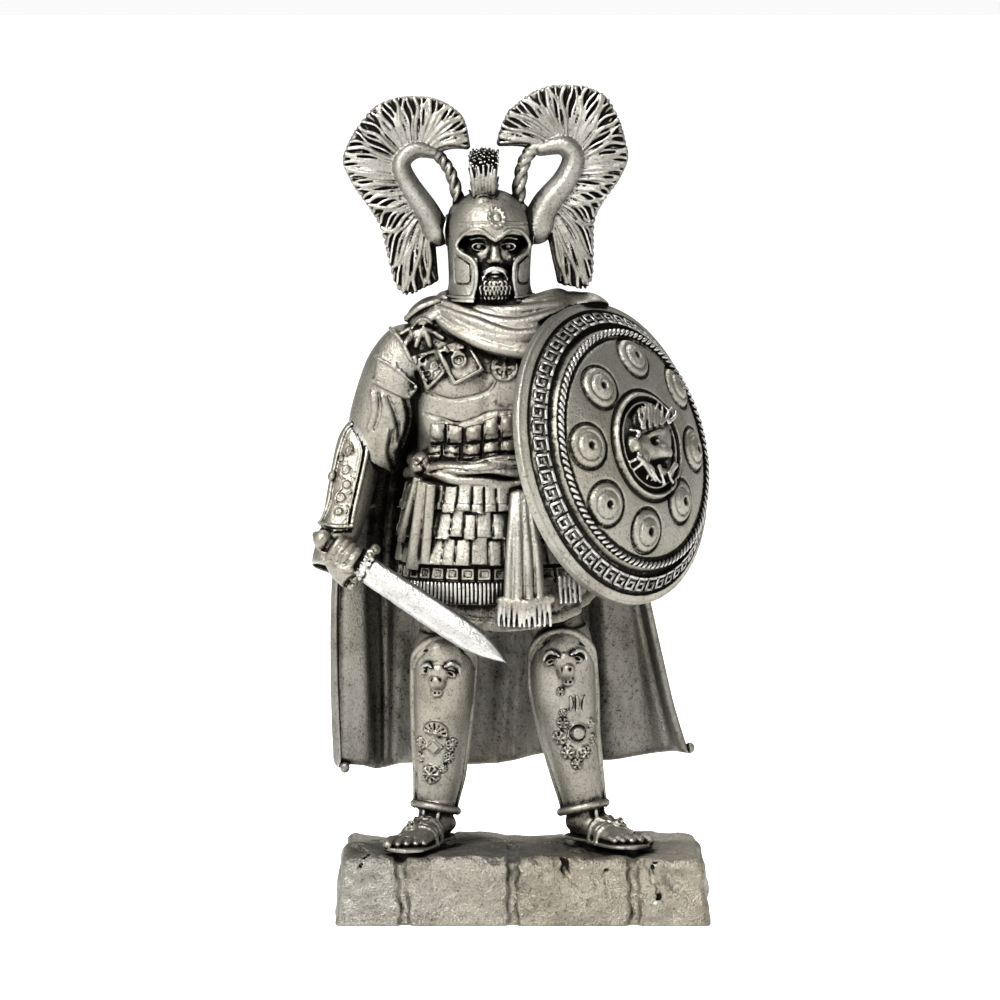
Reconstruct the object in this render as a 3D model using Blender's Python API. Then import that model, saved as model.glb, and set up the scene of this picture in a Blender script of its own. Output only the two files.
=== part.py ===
"""A cast tin soldier: a helmeted warrior in a cloak, with two plumes on horns, a round shield and
a short sword, standing on a plinth of stone blocks.

Metres, +Z up. The soldier faces -Y, and +X is to the right of someone who looks at the face.
The origin is the middle of the plinth's underside.
"""

import math

import bmesh
import bpy
from mathutils import Matrix, Vector

# Plinth
PLINTH_LENGTH = 0.0330
PLINTH_DEPTH = 0.0162
PLINTH_HEIGHT = 0.0060
PLINTH_TAPER = 0.0006
PLINTH_ROUND = 0.0011
STONE_JOINT = 0.0007

# Soldier, from the soles to the crown of the helmet
FIGURE_HEIGHT = 0.0580
CLOAK_THICKNESS = 0.0011
BLADE_LENGTH = 0.0152
BLADE_WIDTH = 0.0024
BLADE_THICKNESS = 0.0010

# Shield
SHIELD_RADIUS = 0.0132
SHIELD_DOME = 0.0036
SHIELD_WALL = 0.0011
SHIELD_RIM = 0.0012
ROPE_RADIUS = 0.0103
BOSS_RADIUS = 0.0040
STUD_RADIUS = 0.0017
STUD_CIRCLE = 0.0076
STUD_COUNT = 8
SHIELD_SIDES = 36

# Plumes on their horns
PLUME_THICKNESS = 0.0021
HORN_THICKNESS = 0.0015
STRAND_COUNT = 26

# Pieces that touch keep this clearance
SEAT_GAP = 0.0002

# Surface detail of the finished solids
FINE_STEP = 0.00026
FIGURE_FACES = 5300
PLUME_FACES = 780
PLINTH_FACES = 300

# The pose is drawn in units of one 58th of the figure's height, from the middle of the soles
UNITS_TALL = 58.0
UNIT = FIGURE_HEIGHT / UNITS_TALL
SOLE_LEVEL = PLINTH_HEIGHT + SEAT_GAP
HEAD_X = -2.95
HEAD_Y = -0.1
HEAD_TURN = math.radians(6)
FRONT = Vector((0, -1, 0))
UP = Vector((0, 0, 1))

METAL_COLOUR = (0.36, 0.35, 0.32, 1.0)
BRIGHT_COLOUR = (0.55, 0.54, 0.51, 1.0)


# Small tools


def place(x, y, z):
    """A point of the pose in metres."""
    return Vector((x * UNIT, y * UNIT, z * UNIT + SOLE_LEVEL))


def blend_rows(rows, steps):
    """Rows of numbers joined by a smooth curve through all of them."""
    made = []
    last = len(rows) - 1
    for i in range(last):
        a, b, c, d = (rows[min(max(i + k, 0), last)] for k in (-1, 0, 1, 2))
        for step in range(steps):
            t = step / steps
            made.append(
                [
                    0.5 * (2 * q + (r - p) * t + (2 * p - 5 * q + 4 * r - s) * t**2
                           + (3 * q - p - 3 * r + s) * t**3)
                    for p, q, r, s in zip(a, b, c, d)
                ]
            )
    made.append(list(rows[last]))
    return made


def add_rings(bm, rings):
    """A closed skin over rings of points, with a flat cap on each end."""
    loops = [[bm.verts.new(p) for p in ring] for ring in rings]
    count = len(loops[0])
    for low, high in zip(loops, loops[1:]):
        for i in range(count):
            j = (i + 1) % count
            bm.faces.new((low[i], low[j], high[j], high[i]))
    bm.faces.new(reversed(loops[0]))
    bm.faces.new(loops[-1])


def add_tube(bm, rows, front=FRONT, steps=4, sides=20):
    """A limb: rows of x, y, z, half width and half depth in pose units, along its own line."""
    rows = blend_rows(rows, steps)
    centres = [place(*row[:3]) for row in rows]
    rings = []
    for i, row in enumerate(rows):
        along = centres[min(i + 1, len(rows) - 1)] - centres[max(i - 1, 0)]
        side = along.cross(front).normalized()
        depth = side.cross(along).normalized()
        ring = []
        for k in range(sides):
            turn = math.tau * k / sides
            ring.append(
                centres[i]
                + side * (math.cos(turn) * row[3] * UNIT)
                + depth * (math.sin(turn) * row[4] * UNIT)
            )
        rings.append(ring)
    add_rings(bm, rings)


def add_ball(bm, centre, radii, turn=0.0):
    """An egg shape at a place in the pose, turned about the view line."""
    matrix = (
        Matrix.Translation(place(*centre))
        @ Matrix.Rotation(turn, 4, "Y")
        @ Matrix.Diagonal([r * UNIT for r in radii] + [1])
    )
    bmesh.ops.create_icosphere(bm, subdivisions=3, radius=1, matrix=matrix)


def add_block(bm, centre, size, turn=0.0, lean=0.0, swing=0.0):
    """A plain block in pose units: turned about the view line, leaned back, swung about the vertical."""
    matrix = (
        Matrix.Translation(place(*centre))
        @ Matrix.Rotation(swing, 4, "Z")
        @ Matrix.Rotation(lean, 4, "X")
        @ Matrix.Rotation(turn, 4, "Y")
        @ Matrix.Diagonal([s * UNIT for s in size] + [1])
    )
    bmesh.ops.create_cube(bm, size=1, matrix=matrix)


def metal(name, colour, roughness):
    material = bpy.data.materials.new(name)
    material.use_nodes = True
    shader = material.node_tree.nodes["Principled BSDF"]
    shader.inputs["Base Color"].default_value = colour
    shader.inputs["Metallic"].default_value = 0.85
    shader.inputs["Roughness"].default_value = roughness
    material.diffuse_color = colour
    return material


def new_object(name, bm, material=None):
    """The mesh as a named object, its faces pointing out."""
    bmesh.ops.recalc_face_normals(bm, faces=bm.faces)
    mesh = bpy.data.meshes.new(name)
    bm.to_mesh(mesh)
    bm.free()
    made = bpy.data.objects.new(name, mesh)
    bpy.context.scene.collection.objects.link(made)
    if material:
        mesh.materials.append(material)
    return made


def fuse(thing, step):
    """One skin round all the shapes that the mesh holds."""
    modifier = thing.modifiers.new("fuse", "REMESH")
    modifier.mode = "VOXEL"
    modifier.voxel_size = step


def lighten(thing, faces):
    """Fewer triangles where the skin is plain."""
    bpy.context.view_layer.update()
    graph = bpy.context.evaluated_depsgraph_get()
    evaluated = thing.evaluated_get(graph)
    mesh = evaluated.to_mesh()
    mesh.calc_loop_triangles()
    count = len(mesh.loop_triangles)
    evaluated.to_mesh_clear()
    modifier = thing.modifiers.new("lighten", "DECIMATE")
    modifier.ratio = min(1.0, faces / count)


def cut(thing, cutter):
    """Takes the cutter's volume away from a piece."""
    cutter.hide_render = True
    cutter.display_type = "WIRE"
    modifier = thing.modifiers.new("cut by " + cutter.name, "BOOLEAN")
    modifier.operation = "DIFFERENCE"
    modifier.object = cutter


def join(thing, other):
    """Makes another closed shape part of a piece."""
    other.hide_render = True
    other.display_type = "WIRE"
    modifier = thing.modifiers.new("join " + other.name, "BOOLEAN")
    modifier.operation = "UNION"
    modifier.use_self = True
    modifier.object = other


# Plinth: a tapered slab of stone blocks, with open joints between them


def plinth_ring(level, inset, corner=0.0018, corner_steps=5):
    """The slab's outline at one height, with round corners."""
    half = (PLINTH_LENGTH / 2 - inset, PLINTH_DEPTH / 2 - inset)
    ring = []
    for quarter in range(4):
        sign_x = 1 if quarter in (0, 3) else -1
        sign_y = 1 if quarter in (0, 1) else -1
        for step in range(corner_steps + 1):
            turn = math.radians(90 * quarter + 90 * step / corner_steps)
            ring.append(
                Vector(
                    (
                        sign_x * (half[0] - corner) + math.cos(turn) * corner,
                        sign_y * (half[1] - corner) + math.sin(turn) * corner,
                        level,
                    )
                )
            )
    return ring


def add_joint(bm, start, end, width):
    """A groove cutter: a long bar of diamond section along a stone joint."""
    along = end - start
    side = along.cross(UP)
    side = side.normalized() if side.length > 1e-9 else Vector((1, 0, 0))
    lift = side.cross(along).normalized()
    rings = []
    for centre in (start, end):
        rings.append([centre + side * width, centre + lift * width,
                      centre - side * width, centre - lift * width])
    add_rings(bm, rings)


# Where the front row's joints stand, as shares of the length, and how far they lean
FRONT_JOINTS = ((-0.325, 0.012), (-0.028, 0.0), (0.292, 0.004))
BACK_JOINTS = (-0.20, 0.13)
ROW_LINE = 0.10


def build_plinth(material):
    bm = bmesh.new()
    rings = [plinth_ring(0.0, 0.0)]
    side_top = PLINTH_HEIGHT - PLINTH_ROUND
    rings.append(plinth_ring(side_top, PLINTH_TAPER))
    for step in range(1, 4):
        turn = math.radians(90 * step / 3)
        level = side_top + math.sin(turn) * PLINTH_ROUND
        rings.append(plinth_ring(level, PLINTH_TAPER + (1 - math.cos(turn)) * PLINTH_ROUND))
    add_rings(bm, rings)
    slab = new_object("plinth", bm, material)

    grooves = bmesh.new()
    front = -PLINTH_DEPTH / 2
    row = ROW_LINE * PLINTH_DEPTH
    top = PLINTH_HEIGHT
    over = PLINTH_HEIGHT / 4
    for share, lean in FRONT_JOINTS:
        x = share * PLINTH_LENGTH
        foot = Vector((x + lean * PLINTH_LENGTH, front, -over))
        head = Vector((x, front + PLINTH_TAPER, top + over))
        add_joint(grooves, foot, head, STONE_JOINT)
        add_joint(grooves, Vector((x, front - over, top)), Vector((x, row, top)), STONE_JOINT)
    for share in BACK_JOINTS:
        x = share * PLINTH_LENGTH
        back = -front
        head = Vector((x, back - PLINTH_TAPER, top + over))
        add_joint(grooves, Vector((x, back, -over)), head, STONE_JOINT)
        add_joint(grooves, Vector((x, row, top)), Vector((x, back + over, top)), STONE_JOINT)
    end = PLINTH_LENGTH / 2
    add_joint(grooves, Vector((-end - over, row, top)), Vector((end + over, row, top)), STONE_JOINT)
    for side in (-1, 1):
        foot = Vector((side * end, row, -over))
        add_joint(grooves, foot, Vector((side * (end - PLINTH_TAPER), row, top + over)), STONE_JOINT)
    cutter = new_object("stone_joints", grooves)
    fuse(cutter, STONE_JOINT / 4)
    lighten(cutter, PLINTH_FACES * 2)
    cut(slab, cutter)
    return slab


# Helmet and face


def helmet_rows(grow=0.0):
    """Height, half width and half depth of the helmet, from its lower edge to its crown."""
    rows = [
        (48.2, 3.75, 3.8), (49.0, 3.45, 3.6), (50.5, 3.5, 3.65), (52.2, 3.65, 3.75),
        (54.0, 3.78, 3.85), (55.4, 3.65, 3.75), (56.6, 3.15, 3.25), (57.4, 2.35, 2.45),
        (57.85, 1.3, 1.35), (58.0, 0.3, 0.3),
    ]
    return [(z + (grow if z > 57 else 0), a + grow, b + grow) for z, a, b in rows]


def face_opening(across, level):
    """How deep the helmet is cut away for the face: 0 outside the opening, 1 inside."""
    eyes = max(0.0, 1 - (across / 3.05) ** 4 - ((level - 53.5) / 1.15) ** 4)
    slot = max(0.0, 1 - (across / 1.5) ** 6) if level < 53.5 else 0.0
    return min(1.0, 4 * max(eyes, slot))


def add_helmet(bm, grow=0.0, with_opening=True, sides=72, steps=6):
    rings = []
    for z, a, b in blend_rows(helmet_rows(grow), steps):
        ring = []
        for k in range(sides):
            turn = math.tau * k / sides
            across, ahead = math.cos(turn) * a, math.sin(turn) * b
            sink = 0.0
            if with_opening and ahead < 0:
                sink = 0.24 * face_opening(across - math.tan(HEAD_TURN) * b, z)
            ring.append(place(HEAD_X + across * (1 - sink), HEAD_Y + ahead * (1 - sink), z))
        rings.append(ring)
    add_rings(bm, rings)


def add_face(bm):
    """Nose, moustache, mouth and beard between the cheek guards."""
    x = HEAD_X + 0.35
    add_tube(bm, [(x, -3.0, 53.6, 0.35, 0.4), (x, -3.7, 52.3, 0.5, 0.5), (x, -3.1, 51.9, 0.4, 0.3)])
    add_ball(bm, (x, -2.7, 49.8), (1.45, 1.35, 1.35))
    for side in (-1, 1):
        add_ball(bm, (x + side * 0.6, -3.2, 51.4), (0.75, 0.6, 0.35), side * 0.35)
        add_ball(bm, (x + side * 1.25, -2.6, 53.4), (0.62, 0.5, 0.36))
        add_tube(bm, [
            (HEAD_X + side * 1.75 + 0.35, -3.5, 48.3, 0.25, 0.3),
            (HEAD_X + side * 1.75 + 0.35, -3.55, 51.2, 0.25, 0.3),
            (HEAD_X + side * 2.9 + 0.35, -2.8, 52.8, 0.25, 0.3),
        ])
    add_tube(bm, [
        (HEAD_X - 2.7, -2.9, 54.5, 0.3, 0.3), (HEAD_X - 1.3, -3.7, 54.9, 0.3, 0.3),
        (HEAD_X + 0.35, -4.0, 54.3, 0.3, 0.3), (HEAD_X + 1.9, -3.6, 54.9, 0.3, 0.3),
        (HEAD_X + 3.2, -2.4, 54.4, 0.3, 0.3),
    ], front=UP)
    add_ball(bm, (x, -3.9, 55.9), (0.5, 0.4, 0.75))


def add_middle_crest(bm, height=3.9, half_width=1.15):
    """The short crest that runs over the crown from front to back."""
    rings = []
    for step in range(13):
        turn = math.radians(-38 + 128 * step / 12)
        y, z = math.sin(turn) * 3.1, 54.4 + math.cos(turn) * 3.3
        out_y, out_z = math.sin(turn) * height, math.cos(turn) * height
        lift = 1.0 if step < 9 else 1 - 0.12 * (step - 8)
        ring = []
        for wide, share in ((-0.6, 0), (-1.0, 0.55), (-0.85, 1), (0.85, 1), (1.0, 0.55), (0.6, 0)):
            ring.append(place(HEAD_X - 0.5 + wide * half_width, y + out_y * share * lift,
                              z + out_z * share * lift))
        rings.append(ring)
    add_rings(bm, rings)


# Body, clothes and arms


def add_torso(bm):
    rows = [
        (-3.0, 0.2, 48.4, 2.6, 2.4), (-3.0, 0.2, 46.8, 3.6, 2.9), (-3.1, 0.2, 45.4, 6.4, 3.5),
        (-3.1, 0.1, 43.6, 7.2, 4.1), (-3.1, 0.0, 41.5, 6.9, 4.5), (-3.2, 0.0, 38.6, 6.4, 4.4),
        (-3.3, 0.1, 35.6, 6.1, 4.0), (-3.4, 0.0, 33.6, 6.3, 4.1), (-3.4, 0.0, 31.5, 6.8, 4.5),
        (-3.3, 0.0, 27.0, 7.4, 4.9), (-3.2, 0.0, 23.6, 7.9, 5.2),
    ]
    add_tube(bm, rows, sides=28)
    for side in (-1, 1):
        add_ball(bm, (-3.1 + side * 2.9, -2.9, 41.4), (2.9, 1.6, 2.0))
    for x, y, z, a, b in ((-3.5, -0.1, 33.9, 6.6, 4.4), (-3.4, -0.1, 32.8, 6.7, 4.5)):
        add_tube(bm, [(x, y, z - 0.55, a - 0.2, b - 0.2), (x, y, z, a, b), (x, y, z + 0.5, a - 0.2, b - 0.2)],
                 sides=28)


def add_tunic(bm, folds=9):
    """The tunic's skirt: a wavy bell, lower in the middle than at its sides."""
    rings = []
    for level, wide, deep, shift in ((25.5, 7.6, 4.9, -2.9), (23.0, 7.9, 5.2, -2.4), (20.6, 8.2, 5.3, -1.9)):
        ring = []
        for k in range(72):
            turn = math.tau * k / 72
            wave = 1 + 0.03 * math.sin(folds * turn + 0.6) * (26.5 - level) / 6
            x = shift + math.cos(turn) * wide * wave
            y = 0.1 + math.sin(turn) * deep * wave
            hang = level - 0.9 * max(0.0, -math.sin(turn)) * (25.5 - level) / 4.9
            ring.append(place(x, y, hang + 0.08 * max(0.0, x) * (25.5 - level) / 4.9))
        rings.append(ring)
    add_rings(bm, rings)


def add_skirt_tiers(bm):
    """Three overlapping tiers of armour plates and a row of fringed lappets below them."""
    for top, foot, out in ((32.2, 29.6, 0.2), (29.9, 27.1, 0.4), (27.4, 23.9, 0.6), (24.2, 21.2, 0.75)):
        wide, deep = 7.05 + out, 4.75 + out
        add_tube(bm, [(-3.4, 0.0, foot, wide + 0.45, deep + 0.45), (-3.4, 0.0, top, wide, deep)],
                 steps=2, sides=32)


def add_sash(bm):
    """The hanging end of the sash, with its fringe."""
    add_tube(bm, [
        (-0.4, -5.2, 32.5, 0.8, 0.7), (0.1, -5.8, 28.5, 1.1, 0.7), (0.2, -6.1, 24.5, 1.3, 0.7),
        (0.3, -6.2, 22.2, 1.6, 0.7), (0.4, -6.2, 20.9, 2.0, 0.6),
    ])


def add_legs(bm):
    right = [(-6.85, -1.0, 19.0, 2.3, 2.2), (-6.9, -1.0, 17.2, 2.75, 2.7), (-7.05, -0.5, 13.5, 2.7, 2.8),
             (-7.25, 0.1, 9.5, 2.45, 2.5), (-7.4, 0.3, 5.8, 2.1, 2.1), (-7.75, 0.4, 3.2, 1.75, 1.8),
             (-7.95, 0.4, 1.9, 1.85, 1.9)]
    left = [(3.35, -1.0, 19.4, 2.3, 2.2), (3.45, -1.0, 17.6, 2.75, 2.7), (3.6, -0.5, 13.9, 2.95, 2.8),
            (4.1, 0.1, 9.8, 2.55, 2.5), (4.85, 0.3, 5.9, 2.15, 2.1), (5.4, 0.4, 3.3, 1.85, 1.8),
            (5.75, 0.4, 2.0, 1.95, 1.9)]
    add_tube(bm, [(-5.9, 0.0, 27.0, 3.0, 3.2), (-6.4, -0.3, 22.0, 2.9, 3.0), (-6.85, -0.8, 17.0, 2.3, 2.2)])
    add_tube(bm, [(-0.4, 0.0, 27.0, 3.0, 3.2), (1.6, -0.3, 22.0, 2.9, 3.0), (3.3, -0.8, 17.0, 2.3, 2.2)])
    for rows, tilt in ((right, -0.05), (left, 0.12)):
        add_tube(bm, rows)
        add_greave_rim(bm, rows, tilt)
        x, y, z, a, b = rows[-1]
        add_tube(bm, [(x, y, z - 0.35, a + 0.2, b + 0.2), (x, y, z + 0.35, a + 0.2, b + 0.2)])
        add_tube(bm, [(x, y + 0.3, 2.2, 1.5, 1.6), (x, y + 0.4, 0.2, 1.5, 1.8)])


def add_greave_rim(bm, rows, tilt):
    """The raised rim round the top of the greave and down its two sides."""
    x, y, z, a, b = rows[1]
    rim = []
    for step in range(9):
        turn = math.pi * step / 8
        rim.append((x + math.cos(turn) * a * 0.98, y - b * (0.25 + 0.72 * math.sin(turn)),
                    z - 0.6 + math.sin(turn) * 2.1, 0.26, 0.26))
    down = [(row[0], row[1], row[2], row[3]) for row in rows[2:6]]
    left = [(cx - ca * 0.93, cy - 0.9, cz, 0.26, 0.26) for cx, cy, cz, ca in reversed(down)]
    right = [(cx + ca * 0.93, cy - 0.9, cz, 0.26, 0.26) for cx, cy, cz, ca in down]
    add_tube(bm, left + rim[::-1] + right, front=Vector((tilt, -1, 0.3)), sides=8)


def add_foot(bm, heel, toe):
    """A sandalled foot on its sole, from the heel's middle to the big toe's."""
    heel, toe = Vector(heel), Vector(toe)
    shape = ((0.0, 1.0, 1.3, 1.15), (0.25, 1.3, 1.5, 1.4), (0.5, 1.5, 1.3, 1.25), (0.75, 1.75, 0.85, 0.85),
             (0.93, 1.65, 0.65, 0.6), (1.0, 1.2, 0.5, 0.45))
    rows = []
    for share, wide, high, tall in shape:
        spot = heel.lerp(toe, share)
        rows.append((spot.x, spot.y, high, wide, tall))
    add_tube(bm, rows, front=UP)
    sole = []
    for share, wide in ((-0.04, 0.8), (0.1, 1.4), (0.4, 1.35), (0.75, 1.95), (0.95, 1.9), (1.1, 1.1)):
        spot = heel.lerp(toe, share)
        sole.append((spot.x, spot.y, 0.3, wide, 0.32))
    add_tube(bm, sole, front=UP)
    across = (toe - heel).normalized().cross(Vector((0, 0, 1)))
    for k in range(5):
        base = heel.lerp(toe, 0.86) + across * (k - 2) * 0.66
        tip = heel.lerp(toe, 1.05 - 0.035 * (k - 2) ** 2 * 0.5) + across * (k - 2) * 0.68
        add_tube(bm, [(base.x, base.y, 0.95, 0.36, 0.4), (tip.x, tip.y, 0.75, 0.36, 0.36)], front=UP, sides=8)


def add_right_arm(bm):
    """The arm that holds the sword: short sleeve, vambrace and fist."""
    add_tube(bm, [(-7.6, 0.3, 44.6, 2.6, 2.9), (-9.8, 0.3, 43.9, 2.7, 2.9), (-11.3, 0.6, 41.0, 3.1, 3.0),
                  (-12.4, 0.9, 37.8, 3.0, 2.9), (-13.3, 1.1, 35.4, 2.5, 2.6), (-13.9, 1.1, 34.0, 1.8, 2.1)])
    add_tube(bm, [(-13.9, 1.3, 37.4, 1.3, 1.5), (-14.4, 1.0, 35.5, 2.0, 2.2), (-15.1, -0.4, 32.0, 2.1, 2.2),
                  (-15.8, -1.9, 29.0, 1.9, 1.9), (-16.6, -3.1, 26.4, 1.8, 1.8), (-17.0, -3.6, 25.2, 1.9, 1.9)])
    add_tube(bm, [(-16.4, -3.6, 27.0, 1.2, 1.3), (-15.2, -4.6, 25.2, 1.4, 1.5), (-14.8, -5.0, 24.2, 1.2, 1.3)])
    for k in range(4):
        add_ball(bm, (-15.9 + 0.62 * k, -5.6 + 0.06 * k, 24.5 - 0.1 * k), (0.42, 0.85, 1.15), 0.5)


def sword_axes():
    """Where the blade starts, the way it points, its edge's way and its face's way."""
    start = place(-14.0, -5.2, 25.2)
    along = (place(-1.6, -7.6, 17.15) - start).normalized()
    side = along.cross(FRONT).normalized()
    return start, along, side, side.cross(along).normalized()


def build_blade():
    """A short straight blade of diamond section, its root inside the guard."""
    start, along, side, out = sword_axes()
    rings = []
    for share, wide in ((-0.04, 1.0), (0.0, 1.0), (0.45, 1.05), (0.76, 1.0), (0.9, 0.55), (1.0, 0.06)):
        middle = start + along * (BLADE_LENGTH * share)
        half = BLADE_WIDTH / 2 * wide
        thick = BLADE_THICKNESS / 2 * (0.6 + 0.4 * wide)
        rings.append([middle + side * half, middle + out * thick, middle - side * half, middle - out * thick])
    bm = bmesh.new()
    add_rings(bm, rings)
    return new_object("blade", bm)


def add_hilt(bm):
    """The guard in front of the fist, and the pommel behind it."""
    start, along, side, out = sword_axes()
    for share, wide, deep in ((-0.03, 1.5, 1.1), (-0.27, 1.0, 1.0)):
        middle = start + along * (BLADE_LENGTH * share)
        matrix = Matrix.Translation(middle) @ Matrix((side, out, along)).transposed().to_4x4()
        size = Matrix.Diagonal([wide * UNIT * 1.25, deep * UNIT, 0.75 * UNIT, 1])
        bmesh.ops.create_icosphere(bm, subdivisions=2, radius=1, matrix=matrix @ size)


def add_left_arm(bm):
    """The arm behind the shield, and the boss on it that the shield sits on."""
    add_tube(bm, [(0.6, 0.3, 44.8, 2.6, 2.9), (3.0, 0.4, 44.2, 2.8, 2.9), (4.8, 0.8, 41.0, 2.9, 2.9),
                  (6.0, 1.4, 37.8, 2.4, 2.5), (6.6, 1.5, 35.6, 2.0, 2.1)])
    add_tube(bm, [(7.0, 1.9, 35.2, 2.0, 2.0), (6.6, -0.6, 35.0, 1.9, 1.9), (6.0, -3.2, 35.0, 1.6, 1.6),
                  (5.6, -5.4, 35.1, 1.5, 1.5), (5.5, -6.2, 35.1, 1.0, 1.0)], front=UP)
    centre, across, up, out = shield_axes()
    base = place(6.3, -1.8, 35.1)
    reach = (centre - base).dot(out) + SHIELD_DOME
    matrix = Matrix.Translation(base + out * reach / 2) @ Matrix((across, up, out)).transposed().to_4x4()
    bmesh.ops.create_cone(bm, cap_ends=True, segments=20, radius1=1.9 * UNIT, radius2=1.9 * UNIT,
                          depth=reach, matrix=matrix)


def add_shoulders(bm):
    """Sleeve strips, the two yoke flaps, the palmette, the brooch and the cloak's drape."""
    for k in range(4):
        x, z = -8.3 - 1.05 * k, 44.1 - 0.9 * k
        add_block(bm, (x - 1.3, -2.6 + 0.35 * k, z - 0.6), (4.6, 0.8, 1.35), turn=math.radians(26 + 7 * k),
                  swing=math.radians(18))
    add_block(bm, (-5.9, -4.0, 43.1), (3.0, 1.2, 3.4), turn=math.radians(-23), lean=math.radians(12))
    add_ball(bm, (-5.9, -4.7, 43.1), (0.8, 0.5, 0.8))
    add_block(bm, (-8.7, -3.2, 42.6), (2.4, 1.2, 2.7), turn=math.radians(-30), lean=math.radians(12),
              swing=math.radians(-12))
    for k in range(5):
        turn = math.radians(-60 + 30 * k)
        add_ball(bm, (-8.3 + math.sin(turn) * 1.2, -3.0, 46.0 - math.cos(turn) * 1.2), (0.42, 0.5, 0.95), -turn)
    add_ball(bm, (-1.4, -4.6, 42.9), (1.05, 0.6, 1.05))
    add_tube(bm, [(-10.9, -0.8, 46.2, 0.5, 0.4), (-9.3, -1.9, 47.3, 1.5, 0.8), (-7.6, -2.2, 48.4, 1.2, 0.7),
                  (-6.4, -2.0, 49.2, 0.4, 0.4)], front=Vector((0.3, -1, 0.5)))
    folds = (
        ((-7.9, -2.6, 47.0), (-5.2, -4.3, 44.9), (-0.6, -4.9, 43.8), (3.6, -3.6, 44.4), (5.6, 0.0, 46.2)),
        ((-7.4, -2.6, 47.5), (-4.6, -4.3, 46.2), (-0.4, -4.6, 45.3), (3.4, -3.4, 46.0), (5.2, 0.2, 47.0)),
        ((-6.9, -2.4, 47.9), (-4.2, -3.7, 47.2), (-0.6, -4.0, 46.8), (2.8, -3.0, 47.6), (4.2, 0.4, 47.8)),
        ((-6.2, -1.4, 48.3), (-3.6, -2.9, 47.8), (-0.8, -3.0, 47.8), (2.4, -2.2, 48.6), (3.4, 0.8, 48.0)),
    )
    for points in folds:
        add_tube(bm, [(*point, 0.95, 0.95) for point in points], front=UP)


# Half of the cloak's outline at five levels: x and y from one side edge to the other
CLOAK_LEVELS = (
    (46.6, ((-8.6, 0.4), (-7.6, 2.2), (-5.8, 3.2), (-3.1, 3.8), (-0.4, 3.2), (1.8, 2.2), (3.2, 0.5))),
    (43.6, ((-11.4, 1.8), (-9.8, 3.7), (-6.6, 4.6), (-3.1, 5.0), (0.6, 4.8), (4.0, 3.9), (6.2, 2.0))),
    (33.8, ((-14.9, 3.2), (-12.4, 4.6), (-8.4, 5.4), (-3.2, 5.9), (2.2, 5.7), (6.2, 5.0), (8.8, 3.6))),
    (22.0, ((-16.6, 2.6), (-13.6, 5.0), (-9.0, 6.0), (-3.1, 6.9), (3.0, 6.8), (7.8, 6.0), (11.4, 4.2))),
    (6.0, ((-16.0, 3.0), (-13.6, 6.0), (-9.8, 6.5), (-4.0, 7.9), (2.6, 7.8), (8.8, 6.8), (15.1, 4.4))),
)
CLOAK_FOLDS = 6.5


def add_cloak(bm, across=84, steps=8):
    """The cloak: a hanging sheet round the back, its folds growing towards the hem."""
    wide = []
    for level, outline in CLOAK_LEVELS:
        points = blend_rows(outline, across // (len(outline) - 1))
        wide.append([value for x, y in points for value in (x, y)] + [level])
    inner, outer = [], []
    half = CLOAK_THICKNESS / UNIT / 2
    for row in blend_rows(wide, steps):
        level = row[-1]
        points = [Vector((row[2 * k], row[2 * k + 1])) for k in range(len(row) // 2)]
        fall = min(1.0, max(0.0, (46.6 - level) / 32))
        last = len(points) - 1
        near, far = [], []
        for k, point in enumerate(points):
            way = points[min(k + 1, last)] - points[max(k - 1, 0)]
            out = Vector((-way.y, way.x)).normalized()
            share = k / last
            wave = math.sin(math.tau * CLOAK_FOLDS * share + 0.8) + 0.4 * math.sin(math.tau * 11 * share)
            spot = point + out * wave * 0.62 * fall
            lift = 2.1 * max(0.0, share - 0.45) * fall if level < 12 else 0.0
            near.append(place(*(spot - out * half), level + lift))
            far.append(place(*(spot + out * half), level + lift))
        inner.append(near)
        outer.append(far)
    rings = [row_in + row_out[::-1] for row_in, row_out in zip(inner, outer)]
    add_rings(bm, rings)


def build_figure(material):
    bm = bmesh.new()
    add_helmet(bm)
    add_face(bm)
    add_middle_crest(bm)
    add_tube(bm, [(HEAD_X, 0.3, 46.0, 2.4, 2.4), (HEAD_X, 0.1, 50.0, 2.3, 2.3)])
    add_torso(bm)
    add_tunic(bm)
    add_skirt_tiers(bm)
    add_sash(bm)
    add_legs(bm)
    add_foot(bm, (-7.3, 1.7, 0), (-10.3, -5.6, 0))
    add_foot(bm, (5.0, 1.8, 0), (9.6, -3.9, 0))
    add_right_arm(bm)
    add_hilt(bm)
    add_left_arm(bm)
    add_shoulders(bm)
    add_cloak(bm)
    figure = new_object("figure", bm, material)
    fuse(figure, FINE_STEP)
    lighten(figure, FIGURE_FACES)
    join(figure, build_blade())
    cut(figure, shield_clearance())
    cut(figure, floor_clearance())
    return figure


def floor_clearance():
    """Everything below the soles, so that the figure stands flat on its plinth."""
    bm = bmesh.new()
    matrix = Matrix.Translation((0, 0, SOLE_LEVEL - PLINTH_HEIGHT / 2))
    size = Matrix.Diagonal((PLINTH_LENGTH * 2, PLINTH_DEPTH * 3, PLINTH_HEIGHT, 1))
    bmesh.ops.create_cube(bm, size=1, matrix=matrix @ size)
    return new_object("floor_clearance", bm)


# Shield


def shield_axes():
    """The middle of the rim's plane, and the shield's sideways, upward and outward directions."""
    out = Vector((0.772, -0.590, 0.236)).normalized()
    across = out.cross(UP).normalized() * -1
    return place(8.2, -3.0, 35.0), across, out.cross(across).normalized(), out


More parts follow.
